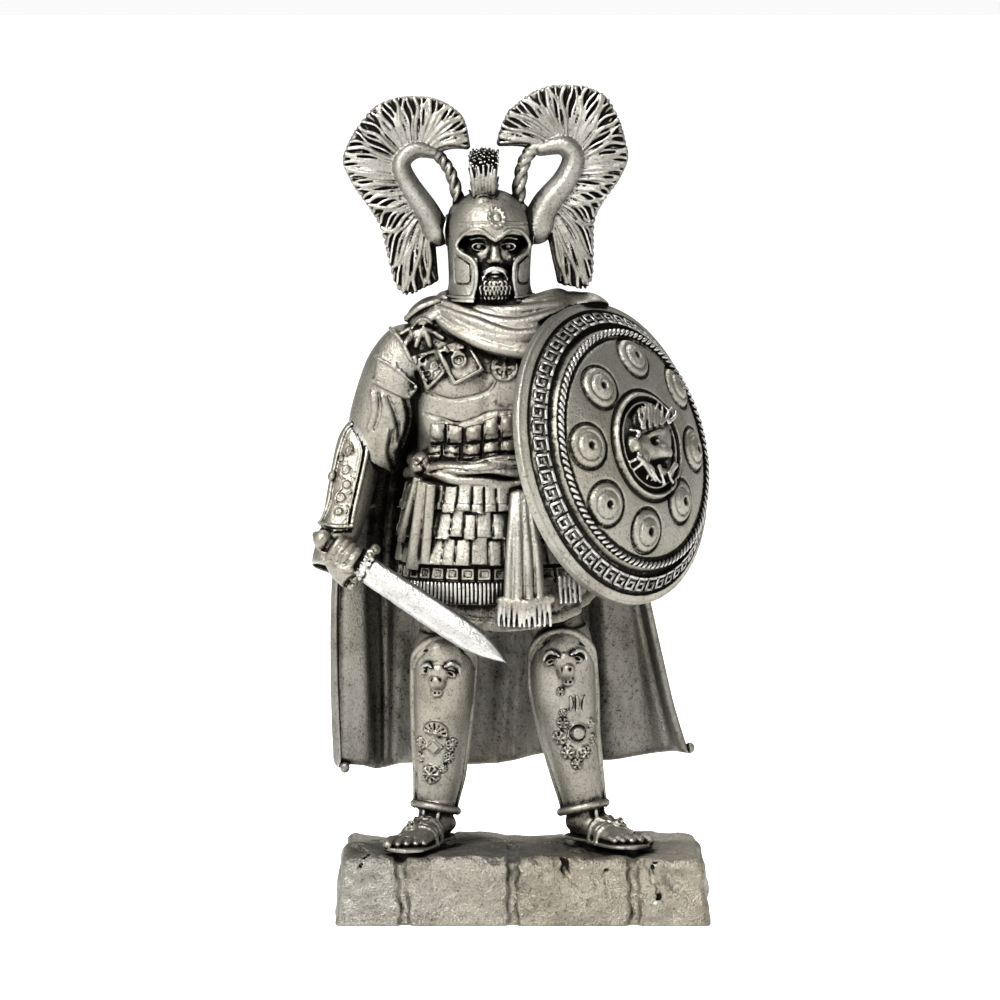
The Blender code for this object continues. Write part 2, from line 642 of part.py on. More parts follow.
def dome(radius):
    """Height of the shield's front above the rim's plane."""
    share = min(1.0, radius / SHIELD_RADIUS)
    bowl = SHIELD_DOME * (1 - share**3.1)
    shoulder = SHIELD_RADIUS * 0.80
    if radius > shoulder:
        bowl -= SHIELD_WALL * 0.3 * (radius - shoulder) / (SHIELD_RADIUS - shoulder)
    return max(bowl, 0.0)


def shield_profile():
    """Radius and height along the front: medallion, field, rope ring, groove, sloping band and rim."""
    line = []
    for middle, rise, sink in ((BOSS_RADIUS, 0.6, 0.1), (ROPE_RADIUS, 0.35, 0.35)):
        for offset, height in ((-0.6, 0), (-0.3, rise), (0.3, rise), (0.6, -sink)):
            radius = middle + offset * SHIELD_RIM
            line.append((radius, dome(radius) + height * SHIELD_WALL))
    line.insert(0, (BOSS_RADIUS * 0.5, dome(BOSS_RADIUS * 0.5)))
    line.insert(5, (STUD_CIRCLE, dome(STUD_CIRCLE)))
    for share, height in ((0.35, 0), (0.7, 0)):
        radius = ROPE_RADIUS + SHIELD_RIM + share * (SHIELD_RADIUS - 2 * SHIELD_RIM - ROPE_RADIUS)
        line.append((radius, dome(radius) + height))
    for offset, rise in ((1.0, 0.0), (0.75, 0.5), (0.2, 0.5), (0.0, 0.0)):
        radius = SHIELD_RADIUS - offset * SHIELD_RIM
        line.append((radius, dome(radius) + rise * SHIELD_WALL))
    return line


def shield_inside(radius):
    """Height of the shield's hollow back above the rim's plane."""
    return dome(radius) - SHIELD_WALL


def shield_ring(radius, height, sides=SHIELD_SIDES):
    centre, across, up, out = shield_axes()
    points = []
    for k in range(sides):
        turn = math.tau * k / sides
        points.append(centre + out * height + across * (radius * math.cos(turn))
                      + up * (radius * math.sin(turn)))
    return points


def add_lens(bm, spot, radii, rise, sunk=0.6):
    """A round raised form on the shield's front: rise and sunk are shares of the shield's wall."""
    centre, across, up, out = shield_axes()
    level = dome(math.hypot(*spot)) + (rise - sunk) / 2 * SHIELD_WALL
    matrix = (
        Matrix.Translation(centre + across * spot[0] + up * spot[1] + out * level)
        @ Matrix((across, up, out)).transposed().to_4x4()
        @ Matrix.Diagonal((radii[0], radii[1], (rise + sunk) / 2 * SHIELD_WALL, 1))
    )
    bmesh.ops.create_icosphere(bm, subdivisions=2, radius=1, matrix=matrix)


def build_shield(material):
    """A domed disc with a hollow back, with raised studs and a lion's head in its medallion."""
    bm = bmesh.new()
    rings = [shield_ring(radius, height) for radius, height in shield_profile()]
    for share in (0.985, 0.86, 0.7, 0.5, 0.25):
        rings.append(shield_ring(SHIELD_RADIUS * share, shield_inside(SHIELD_RADIUS * share)))
    add_rings(bm, rings)
    shield = new_object("shield", bm, material)

    relief = bmesh.new()
    for k in range(STUD_COUNT):
        way = math.tau * (k + 0.5) / STUD_COUNT
        spot = (STUD_CIRCLE * math.cos(way), STUD_CIRCLE * math.sin(way))
        add_lens(relief, spot, (STUD_RADIUS, STUD_RADIUS), 0.45)
    head = BOSS_RADIUS * 0.62
    add_lens(relief, (0, head * 0.15), (head, head * 1.05), 1.1)
    add_lens(relief, (0, head * -0.4), (head * 0.55, head * 0.6), 1.8)
    fused = new_object("shield_relief", relief)
    join(shield, fused)
    return shield


def shield_clearance():
    """The space that the shield takes up, and all in front of it, with the clearance behind it."""
    centre, across, up, out = shield_axes()
    reach = (SHIELD_RADIUS + SEAT_GAP) / math.cos(math.pi / SHIELD_SIDES)
    rings = []
    for step in range(1, 13):
        radius = reach * step / 12
        rings.append(shield_ring(radius, shield_inside(min(radius, SHIELD_RADIUS)) - SEAT_GAP * 2))
    top = [point + out * (SHIELD_DOME * 3) for point in rings[-1]]
    bm = bmesh.new()
    add_rings(bm, rings + [top])
    return new_object("shield_clearance", bm)


# Plumes: each a fan of hair on a horn, drawn in its own upright plane.
# Every point is across, from the middle of the head outwards, and height, in pose units.
PLUME_ON_RIGHT = {
    "horn": ((4.6, 54.2, 1.1), (5.6, 56.1, 1.0), (7.2, 58.5, 0.85), (7.85, 60.0, 0.8), (7.4, 61.0, 0.75),
             (6.3, 61.6, 0.72), (4.9, 61.3, 0.45)),
    "strut": ((2.3, 54.6, 0.9), (2.5, 56.1, 0.72), (3.4, 59.4, 0.66), (4.7, 61.2, 0.8)),
    "roots": ((4.6, 61.6), (5.4, 62.1), (6.2, 62.3), (7.7, 61.8), (8.6, 60.3), (8.2, 58.5), (6.9, 56.5),
              (6.0, 55.0), (5.3, 54.2)),
    "bends": ((3.3, 62.2), (4.1, 63.7), (5.9, 64.4), (8.9, 63.8), (10.7, 61.0), (10.3, 58.5), (8.6, 55.8),
              (7.1, 52.6), (5.1, 52.0)),
    "tips": ((1.75, 61.7), (2.5, 64.5), (5.6, 66.1), (9.9, 65.3), (12.75, 61.2), (12.1, 58.7), (9.6, 54.8),
             (7.9, 48.9), (4.7, 49.8)),
}
PLUME_ON_LEFT = {
    "horn": ((4.1, 54.6, 1.3), (5.0, 56.6, 1.15), (6.6, 58.6, 1.0), (7.4, 60.2, 0.95), (7.35, 61.2, 0.9),
             (6.4, 62.0, 0.85), (4.5, 61.6, 0.5)),
    "strut": ((2.2, 54.8, 0.95), (2.4, 56.4, 0.8), (2.95, 60.1, 0.72), (4.1, 61.9, 0.9)),
    "roots": ((4.5, 61.8), (5.6, 62.6), (6.5, 62.8), (7.9, 62.1), (8.4, 60.6), (8.0, 59.0), (6.7, 57.0),
              (5.9, 55.5), (5.5, 54.4)),
    "bends": ((2.8, 62.4), (4.0, 64.0), (6.0, 65.0), (8.8, 64.2), (10.2, 61.4), (9.8, 58.9), (8.4, 56.4),
              (7.5, 53.4), (5.9, 52.2)),
    "tips": ((0.6, 62.0), (1.7, 64.9), (5.4, 67.1), (10.1, 66.3), (12.1, 61.6), (11.5, 59.2), (9.2, 55.4),
             (8.9, 49.6), (6.3, 49.6)),
}


def plume_point(share, reach, guides):
    """A point of the fan: share runs along the horn, reach runs from the root to the tips."""
    roots, bends, tips = guides
    k = min(int(share * (len(roots) - 1)), len(roots) - 1)
    u = [(1 - reach) ** 2 * r + 2 * reach * (1 - reach) * b + reach**2 * t
         for r, b, t in zip(roots[k], bends[k], tips[k])]
    return u


def build_plume(name, side, shape, material):
    """The horn, its braided strut and the fan of hair, on one side of the helmet."""
    bm = bmesh.new()
    steps = 16
    guides = [blend_rows(shape[part], steps) for part in ("roots", "bends", "tips")]
    columns = len(guides[0]) - 1
    half = PLUME_THICKNESS / UNIT / 2
    rings = []
    for k in range(columns + 1):
        share = k / columns
        ridge = 0.5 + 0.5 * math.cos(math.tau * STRAND_COUNT * share)
        face, back = [], []
        for row in range(9):
            reach = row / 8
            u, z = plume_point(share, reach, guides)
            thick = half * (0.8 + 0.35 * math.sin(math.pi * reach)) * (0.78 + 0.22 * ridge)
            face.append(place(HEAD_X + side * u, -thick, z))
            back.append(place(HEAD_X + side * u, thick, z))
        rings.append(face + back[::-1])
    add_rings(bm, rings)
    deep = HORN_THICKNESS / UNIT / 2
    for part, thick in (("horn", deep * 1.4), ("strut", deep)):
        rows = [(HEAD_X + side * u, 0.0, z, wide, thick) for u, z, wide in shape[part]]
        add_tube(bm, rows)
    plume = new_object(name, bm, material)
    fuse(plume, FINE_STEP * 0.8)
    lighten(plume, PLUME_FACES)
    return plume


def helmet_clearance():
    """The helmet, larger by the clearance, which the plumes are cut back to."""
    bm = bmesh.new()
    add_helmet(bm, grow=SEAT_GAP * 1.5 / UNIT, with_opening=False, sides=48, steps=3)
    return new_object("helmet_clearance", bm)


def main():
    for old in list(bpy.data.objects):
        bpy.data.objects.remove(old)
    cast = metal("cast_tin", METAL_COLOUR, 0.42)
    bright = metal("rubbed_tin", BRIGHT_COLOUR, 0.34)
    stone = metal("tin_stone", METAL_COLOUR, 0.55)
    build_plinth(stone)
    build_figure(cast)
    build_shield(bright)
    clearance = helmet_clearance()
    cut(build_plume("plume_right", -1, PLUME_ON_RIGHT, cast), clearance)
    cut(build_plume("plume_left", 1, PLUME_ON_LEFT, cast), clearance)


main()
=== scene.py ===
"""The tin soldier's looks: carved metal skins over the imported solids, an antique tin finish, camera and
light.

The forms are carved in millimetres, +Z up, the soldier facing -Y, and become meshes in metres.
"""

import math

import bmesh
import bpy
import numpy as np
from mathutils import Matrix, Vector


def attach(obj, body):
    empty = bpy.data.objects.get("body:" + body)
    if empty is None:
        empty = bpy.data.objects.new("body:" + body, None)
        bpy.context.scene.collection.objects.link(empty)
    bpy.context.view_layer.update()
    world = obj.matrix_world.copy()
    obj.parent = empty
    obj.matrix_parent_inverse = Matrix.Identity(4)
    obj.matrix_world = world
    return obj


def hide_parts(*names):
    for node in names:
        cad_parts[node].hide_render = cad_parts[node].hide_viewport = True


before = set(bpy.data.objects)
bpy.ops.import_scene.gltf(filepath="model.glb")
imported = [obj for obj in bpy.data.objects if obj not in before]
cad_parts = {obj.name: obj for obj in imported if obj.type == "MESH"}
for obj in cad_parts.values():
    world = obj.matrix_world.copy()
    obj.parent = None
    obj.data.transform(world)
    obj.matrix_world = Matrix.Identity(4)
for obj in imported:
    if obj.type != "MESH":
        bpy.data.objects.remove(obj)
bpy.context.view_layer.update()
GRAIN = 1.0

# Camera: place in millimetres, pitch down, and focal length in pixels of the photograph's frame
EYE = (-2.02, -450.0, 80.0)
PITCH = math.radians(5.49)
FOCAL = 5114.0
FRAME_PIXELS = 1000.0
PIXEL = 0.0883

HEAD = np.array((-2.95, -0.1))
SOLES = 6.2


# Carving


def smooth_curve(rows, steps):
    """Rows of numbers joined by a smooth curve through all of them."""
    rows = np.array(rows, float)
    made = []
    for i in range(len(rows) - 1):
        a, b = rows[max(i - 1, 0)], rows[i]
        c, d = rows[i + 1], rows[min(i + 2, len(rows) - 1)]
        for t in np.arange(steps) / steps:
            made.append(0.5 * (2 * b + (c - a) * t + (2 * a - 5 * b + 4 * c - d) * t**2
                               + (3 * b - a - 3 * c + d) * t**3))
    return np.array(made + [rows[-1]])


def unit(vector):
    vector = np.array(vector, float)
    return vector / np.linalg.norm(vector)


def axes_of(out, up=(0, 0, 1)):
    """Three unit vectors: across, up the surface, and out of it."""
    out = unit(out)
    across = unit(np.cross(up, out) if abs(np.dot(out, unit(up))) < 0.98 else np.cross((0, 1, 0), out))
    return np.array((across, np.cross(out, across), out))


def pixel_of(x, y, z):
    """Where the photograph shows a point."""
    dx, dy, dz = x - EYE[0], y - EYE[1], z - EYE[2]
    ahead = dy * math.cos(PITCH) - dz * math.sin(PITCH)
    rise = dy * math.sin(PITCH) + dz * math.cos(PITCH)
    return 500 + FOCAL * dx / ahead, 500 - FOCAL * rise / ahead


def outline_gap(px, py, outline, closed):
    """Distance in pixels to a drawn outline, less than 0 inside a closed one."""
    best, inside = 1e9, False
    ends = np.roll(outline, -1, axis=0) if closed else outline[1:]
    for (ax, ay), (bx, by) in zip(outline, ends):
        ex, ey = bx - ax, by - ay
        t = np.clip(((px - ax) * ex + (py - ay) * ey) / max(ex * ex + ey * ey, 1e-9), 0, 1)
        best = np.minimum(best, (px - ax - t * ex) ** 2 + (py - ay - t * ey) ** 2)
        if closed:
            crosses = (py < ay) != (py < by)
            inside = inside ^ (crosses & (px < ax + (py - ay) * ex / (ey if ey else 1e-9)))
    gap = np.sqrt(best)
    return np.where(inside, -gap, gap) if closed else gap


def ease(low, high, value):
    t = np.clip((value - low) / (high - low), 0, 1)
    return t * t * (3 - 2 * t)


class Clay:
    """A block of space that holds the distance to the form carved in it so far, less than 0 inside."""

    def __init__(self, low, high, step):
        self.step = step * GRAIN
        self.low = np.array(low, float)
        counts = [int((b - a) / self.step) + 2 for a, b in zip(low, high)]
        self.axes = [a + self.step * np.arange(n) for a, n in zip(low, counts)]
        self.field = np.full(counts, 4.0, np.float32)
        self.home = None

    def part(self, low, high):
        cut = tuple(slice(*np.searchsorted(axis, ends)) for axis, ends in zip(self.axes, zip(low, high)))
        x, y, z = (axis[piece].astype(np.float32) for axis, piece in zip(self.axes, cut))
        return cut, x[:, None, None], y[None, :, None], z[None, None, :]

    def merge(self, low, high, shape, blend=0.0, cut=False):
        """Adds a shape to the form, or takes it away, with a soft joint of the given width."""
        margin = blend + 2.5 * self.step
        where, x, y, z = self.part(np.array(low) - margin, np.array(high) + margin)
        old = self.field[where]
        if not old.size:
            return
        new = np.broadcast_to(shape(x, y, z), old.shape)
        if cut:
            old = -old
        if blend:
            share = np.clip(0.5 + 0.5 * (old - new) / blend, 0, 1)
            new = old + (new - old) * share - blend * share * (1 - share)
        else:
            new = np.minimum(old, new)
        self.field[where] = -new if cut else new

    def raise_by(self, low, high, height):
        """Moves the surface outwards by a height that depends on the place."""
        where, x, y, z = self.part(low, high)
        if self.field[where].size:
            self.field[where] -= height(x, y, z).astype(np.float32)

    def egg(self, centre, radii, axes=None, blend=0.0, cut=False):
        centre, radii = np.array(centre, float), np.array(radii, float)
        axes = np.eye(3) if axes is None else np.array(axes)
        reach = np.sqrt(((axes * radii[:, None]) ** 2).sum(axis=0))

        def shape(x, y, z):
            dx, dy, dz = x - centre[0], y - centre[1], z - centre[2]
            near = far = 0
            for axis, radius in zip(axes, radii):
                along = dx * axis[0] + dy * axis[1] + dz * axis[2]
                near = near + (along / radius) ** 2
                far = far + (along / radius**2) ** 2
            near, far = np.sqrt(near), np.sqrt(far) + 1e-6
            return near * (near - 1) / far

        self.merge(centre - reach, centre + reach, shape, blend, cut)

    def slab(self, centre, half, axes=None, round_by=0.12, blend=0.0, cut=False):
        """A block with rounded edges."""
        centre, half = np.array(centre, float), np.array(half, float)
        axes = np.eye(3) if axes is None else np.array(axes)
        reach = np.abs(axes * half[:, None]).sum(axis=0)

        def shape(x, y, z):
            dx, dy, dz = x - centre[0], y - centre[1], z - centre[2]
            outside, inside = 0, -99.0
            for axis, size in zip(axes, half - round_by):
                past = np.abs(dx * axis[0] + dy * axis[1] + dz * axis[2]) - size
                outside = outside + np.maximum(past, 0) ** 2
                inside = np.maximum(inside, past)
            return np.sqrt(outside) + np.minimum(inside, 0) - round_by

        self.merge(centre - reach, centre + reach, shape, blend, cut)

    def tube(self, points, radii, blend=0.0, cut=False):
        """A round bar along a line of points, with a radius at each."""
        points = np.array(points, float)
        radii = np.broadcast_to(np.array(radii, float), len(points))

        def piece(a, b, ra, rb):
            line = b - a
            length = max(float(line @ line), 1e-9)

            def shape(x, y, z):
                dx, dy, dz = x - a[0], y - a[1], z - a[2]
                t = np.clip((dx * line[0] + dy * line[1] + dz * line[2]) / length, 0, 1)
                gap = (dx - t * line[0]) ** 2 + (dy - t * line[1]) ** 2 + (dz - t * line[2]) ** 2
                return np.sqrt(gap) - (ra + t * (rb - ra))

            return shape

        pieces = [piece(*ends) for ends in zip(points, points[1:], radii, radii[1:])]
        if blend:
            def whole(x, y, z):
                found = pieces[0](x, y, z)
                for shape in pieces[1:]:
                    found = np.minimum(found, shape(x, y, z))
                return found

            top = radii.max()
            self.merge(points.min(axis=0) - top, points.max(axis=0) + top, whole, blend, cut)
            return
        for a, b, ra, rb, shape in zip(points, points[1:], radii, radii[1:], pieces):
            top = max(ra, rb)
            self.merge(np.minimum(a, b) - top, np.maximum(a, b) + top, shape, 0.0, cut)

    def limb(self, rows, front=(0, -1, 0), blend=0.0, cut=False, fat=2.0):
        """An oval form along a line: rows of x, y, z, half width and half depth."""
        rows = smooth_curve(rows, 8)
        start, end = rows[0, :3], rows[-1, :3]
        along = unit(end - start)
        side = unit(np.cross(along, front))
        deep = np.cross(side, along)
        stations = (rows[:, :3] - start) @ along
        sway, sink = (rows[:, :3] - start) @ side, (rows[:, :3] - start) @ deep
        reach = np.abs(rows[:, 3:]).max() * 1.05

        def shape(x, y, z):
            dx, dy, dz = x - start[0], y - start[1], z - start[2]
            w = dx * along[0] + dy * along[1] + dz * along[2]
            a, b, cu, cv = (np.interp(w, stations, column) for column in (rows[:, 3], rows[:, 4], sway,
                                                                          sink))
            u = (dx * side[0] + dy * side[1] + dz * side[2] - cu) / a
            v = (dx * deep[0] + dy * deep[1] + dz * deep[2] - cv) / b
            if fat == 2.0:
                near = np.sqrt(u * u + v * v)
            else:
                near = (np.abs(u) ** fat + np.abs(v) ** fat) ** (1 / fat)
            slope = np.sqrt((u / a) ** 2 + (v / b) ** 2) + 1e-6
            wall = near * (near - 1) / slope * (near / np.maximum(np.sqrt(u * u + v * v), 1e-6))
            ends = np.maximum(-w, w - stations[-1])
            return np.maximum(wall, ends).astype(np.float32)

        self.merge(rows[:, :3].min(axis=0) - reach, rows[:, :3].max(axis=0) + reach, shape, blend, cut)

    def sample(self, points):
        """The distance at each point, read between the nearest eight."""
        spots = (np.array(points, float) - self.low) / self.step
        top = np.array(self.field.shape) - 1.001
        spots = np.clip(spots, 0, top)
        base = spots.astype(int)
        share = spots - base
        found = 0
        for corner in range(8):
            bits = np.array((corner & 1, corner >> 1 & 1, corner >> 2 & 1))
            weight = np.prod(np.where(bits, share, 1 - share), axis=-1)
            i, j, k = (base + bits).T
            found = found + weight * self.field[i, j, k]
        return found

    def slope(self, points):
        points = np.atleast_2d(points)
        reach = self.step * 1.5
        made = np.stack([self.sample(points + step) - self.sample(points - step)
                         for step in np.eye(3) * reach], axis=-1)
        return made / (np.linalg.norm(made, axis=-1, keepdims=True) + 1e-9)

    def met_by(self, starts, ways, reach=30.0, fine=0.06):
        """Where straight lines first meet the form."""
        starts, ways = np.atleast_2d(starts), np.atleast_2d(ways)
        places, normals = [], []
        steps = np.arange(0, reach, fine)
        for start, way in zip(starts, ways):
            line = start + steps[:, None] * way
            inside = np.nonzero(self.sample(line) < 0)[0]
            spot = line[inside[0]] if len(inside) else line[len(line) // 2]
            places.append(spot)
        places = np.array(places)
        normals = self.slope(places)
        return places, normals

    def seen(self, pixels, from_y=-16.0):
        """Where the lines of sight through the photograph's pixels first meet the form."""
        pixels = np.atleast_2d(np.array(pixels, float))
        across, rise = (pixels[:, 0] - 500) / FOCAL, (500 - pixels[:, 1]) / FOCAL
        ways = np.stack([across, math.cos(PITCH) + rise * math.sin(PITCH),
                         rise * math.cos(PITCH) - math.sin(PITCH)], axis=1)
        starts = np.array(EYE) + ways * ((from_y - EYE[1]) / ways[:, 1:2])
        if self.home:
            middle, axes = self.home
            starts, ways = (starts - middle) @ axes.T, ways @ axes.T
        return self.met_by(starts, ways)

    def stroke(self, pixels, width, height, blend=0.0, cut=False, steps=6, smooth=True, taper=False):
        """A raised bead, or a groove, along a line drawn on the form as the photograph sees it."""
        line = smooth_curve(pixels, steps) if smooth else np.array(pixels, float)
        places, normals = self.seen(line)
        self.trace(places, normals, width, height, blend, cut, taper)

    def trace(self, places, normals, width, height, blend=0.0, cut=False, taper=False):
        radius = np.full(len(places), width / 2)
        if taper:
            radius *= 0.35 + 0.65 * np.sin(np.linspace(0.12, math.pi - 0.12, len(places)))
        centres = places + normals * ((radius - height) if cut else (height - radius))[:, None]
        self.tube(centres, radius, blend, cut)

    def boss(self, pixel, radii, height, blend=0.0, cut=False, turn=0.0):
        """A round raised form on the surface at a pixel, its radii along and across the turn."""
        places, normals = self.seen([pixel])
        axes = axes_of(normals[0])
        c, s = math.cos(turn), math.sin(turn)
        axes = np.array((axes[0] * c + axes[1] * s, axes[1] * c - axes[0] * s, axes[2]))
        self.egg(places[0], (radii[0], radii[1], height), axes, blend, cut)

    def patch(self, corners, height, border=0.0, sink=0.0, closed=True, width=0.0):
        """Raises, or with a height below 0 sinks, the surface inside an outline that the photograph sees.

        An open outline is a band of the given width in pixels. A border keeps its height round a sunk
        field.
        """
        outline = np.array(corners, float)
        places = self.seen(outline)[0]
        margin = abs(height) + width * PIXEL + 0.35
        where, x, y, z = self.part(places.min(axis=0) - margin, places.max(axis=0) + margin)
        old = self.field[where]
        if self.home:
            middle, axes = self.home
            x, y, z = (middle[n] + x * axes[0, n] + y * axes[1, n] + z * axes[2, n] for n in range(3))
        px, py = pixel_of(x, y, z)
        edge = (outline_gap(px, py, outline, closed) - width / 2) * PIXEL
        edge = np.broadcast_to(edge, old.shape)
        if height > 0:
            self.field[where] = np.minimum(old, np.maximum(edge, old - height))
        else:
            self.field[where] = np.maximum(old, np.minimum(-edge, old - height))
        if sink:
            old = self.field[where]
            self.field[where] = np.maximum(old, np.minimum(-edge - border, old + sink))

    def seal(self, pixel, radius, height):
        """A round ornament: height is a function of the distance from its middle and the angle."""
        places, normals = self.seen([pixel])
        self.seal_at(places[0], axes_of(normals[0]), radius, height)

    def seal_at(self, middle, axes, radius, height):
        where, x, y, z = self.part(middle - radius * 1.1, middle + radius * 1.1)
        dx, dy, dz = x - middle[0], y - middle[1], z - middle[2]
        u, v = (dx * a[0] + dy * a[1] + dz * a[2] for a in axes[:2])
        r = np.sqrt(u * u + v * v)
        made = np.where(r < radius, height(r, np.arctan2(v, u)), 0)
        self.field[where] -= made.astype(np.float32)

    def skin(self):
        """Corner points and faces of the surface where the distance is zero."""
        field = self.field
        field[[0, -1]] = np.maximum(field[[0, -1]], self.step)
        field[:, [0, -1]] = np.maximum(field[:, [0, -1]], self.step)
        field[:, :, [0, -1]] = np.maximum(field[:, :, [0, -1]], self.step)
        inside = field < 0
        total = np.zeros(np.array(field.shape) - 1, np.uint8)
        for i in (0, 1):
            for j in (0, 1):
                for k in (0, 1):
                    nx, ny, nz = total.shape
                    total += inside[i:i + nx, j:j + ny, k:k + nz]
        cells = np.argwhere((total > 0) & (total < 8))
        number = np.full(total.shape, -1, np.int32)
        number[tuple(cells.T)] = np.arange(len(cells))
        corners = {}
        for i in (0, 1):
            for j in (0, 1):
                for k in (0, 1):
                    corners[i, j, k] = field[cells[:, 0] + i, cells[:, 1] + j,
                                             cells[:, 2] + k].astype(float)
        spots, hits = np.zeros((len(cells), 3)), np.zeros(len(cells))
        for a in corners:
            for axis in range(3):
                if a[axis]:
                    continue
                b = tuple(1 if n == axis else a[n] for n in range(3))
                fa, fb = corners[a], corners[b]
                cross = (fa < 0) != (fb < 0)
                share = np.where(cross, fa / np.where(cross, fa - fb, 1), 0)
                spot = np.array(a, float) + np.outer(share, np.eye(3)[axis])
                spots += spot * cross[:, None]
                hits += cross
        points = self.low + (cells + spots / hits[:, None]) * self.step
        quads = []
        for axis in range(3):
            near = [slice(None)] * 3
            far = [slice(None)] * 3
            near[axis], far[axis] = slice(None, -1), slice(1, None)
            edges = np.argwhere(inside[tuple(near)] != inside[tuple(far)])
            u, v = [n for n in range(3) if n != axis]
            edges = edges[(edges[:, u] > 0) & (edges[:, v] > 0)
                          & (edges[:, u] < field.shape[u] - 1) & (edges[:, v] < field.shape[v] - 1)]
            around = []
            for du, dv in ((-1, -1), (0, -1), (0, 0), (-1, 0)):
                cell = edges.copy()
                cell[:, u] += du
                cell[:, v] += dv
                around.append(number[tuple(cell.T)])
            faces = np.stack(around, axis=1)
            turned = inside[tuple(edges.T)] == (axis == 1)
            faces[turned] = faces[turned][:, ::-1]
            quads.append(faces)
        return points, np.concatenate(quads)


def mesh_object(name, points, faces):
    """A mesh of quads in millimetres as a smooth object in metres."""
    mesh = bpy.data.meshes.new(name)
    mesh.vertices.add(len(points))
    mesh.vertices.foreach_set("co", (np.asarray(points, np.float32) / 1000).ravel())
    faces = np.asarray(faces, np.int32)
    sides = faces.shape[1]
    mesh.loops.add(faces.size)
    mesh.loops.foreach_set("vertex_index", faces.ravel())
    mesh.polygons.add(len(faces))
    mesh.polygons.foreach_set("loop_start", np.arange(0, faces.size, sides, dtype=np.int32))
    mesh.polygons.foreach_set("loop_total", np.full(len(faces), sides, np.int32))
    mesh.update(calc_edges=True)
    mesh.shade_smooth()
    made = bpy.data.objects.new(name, mesh)
    bpy.context.scene.collection.objects.link(made)
    return made


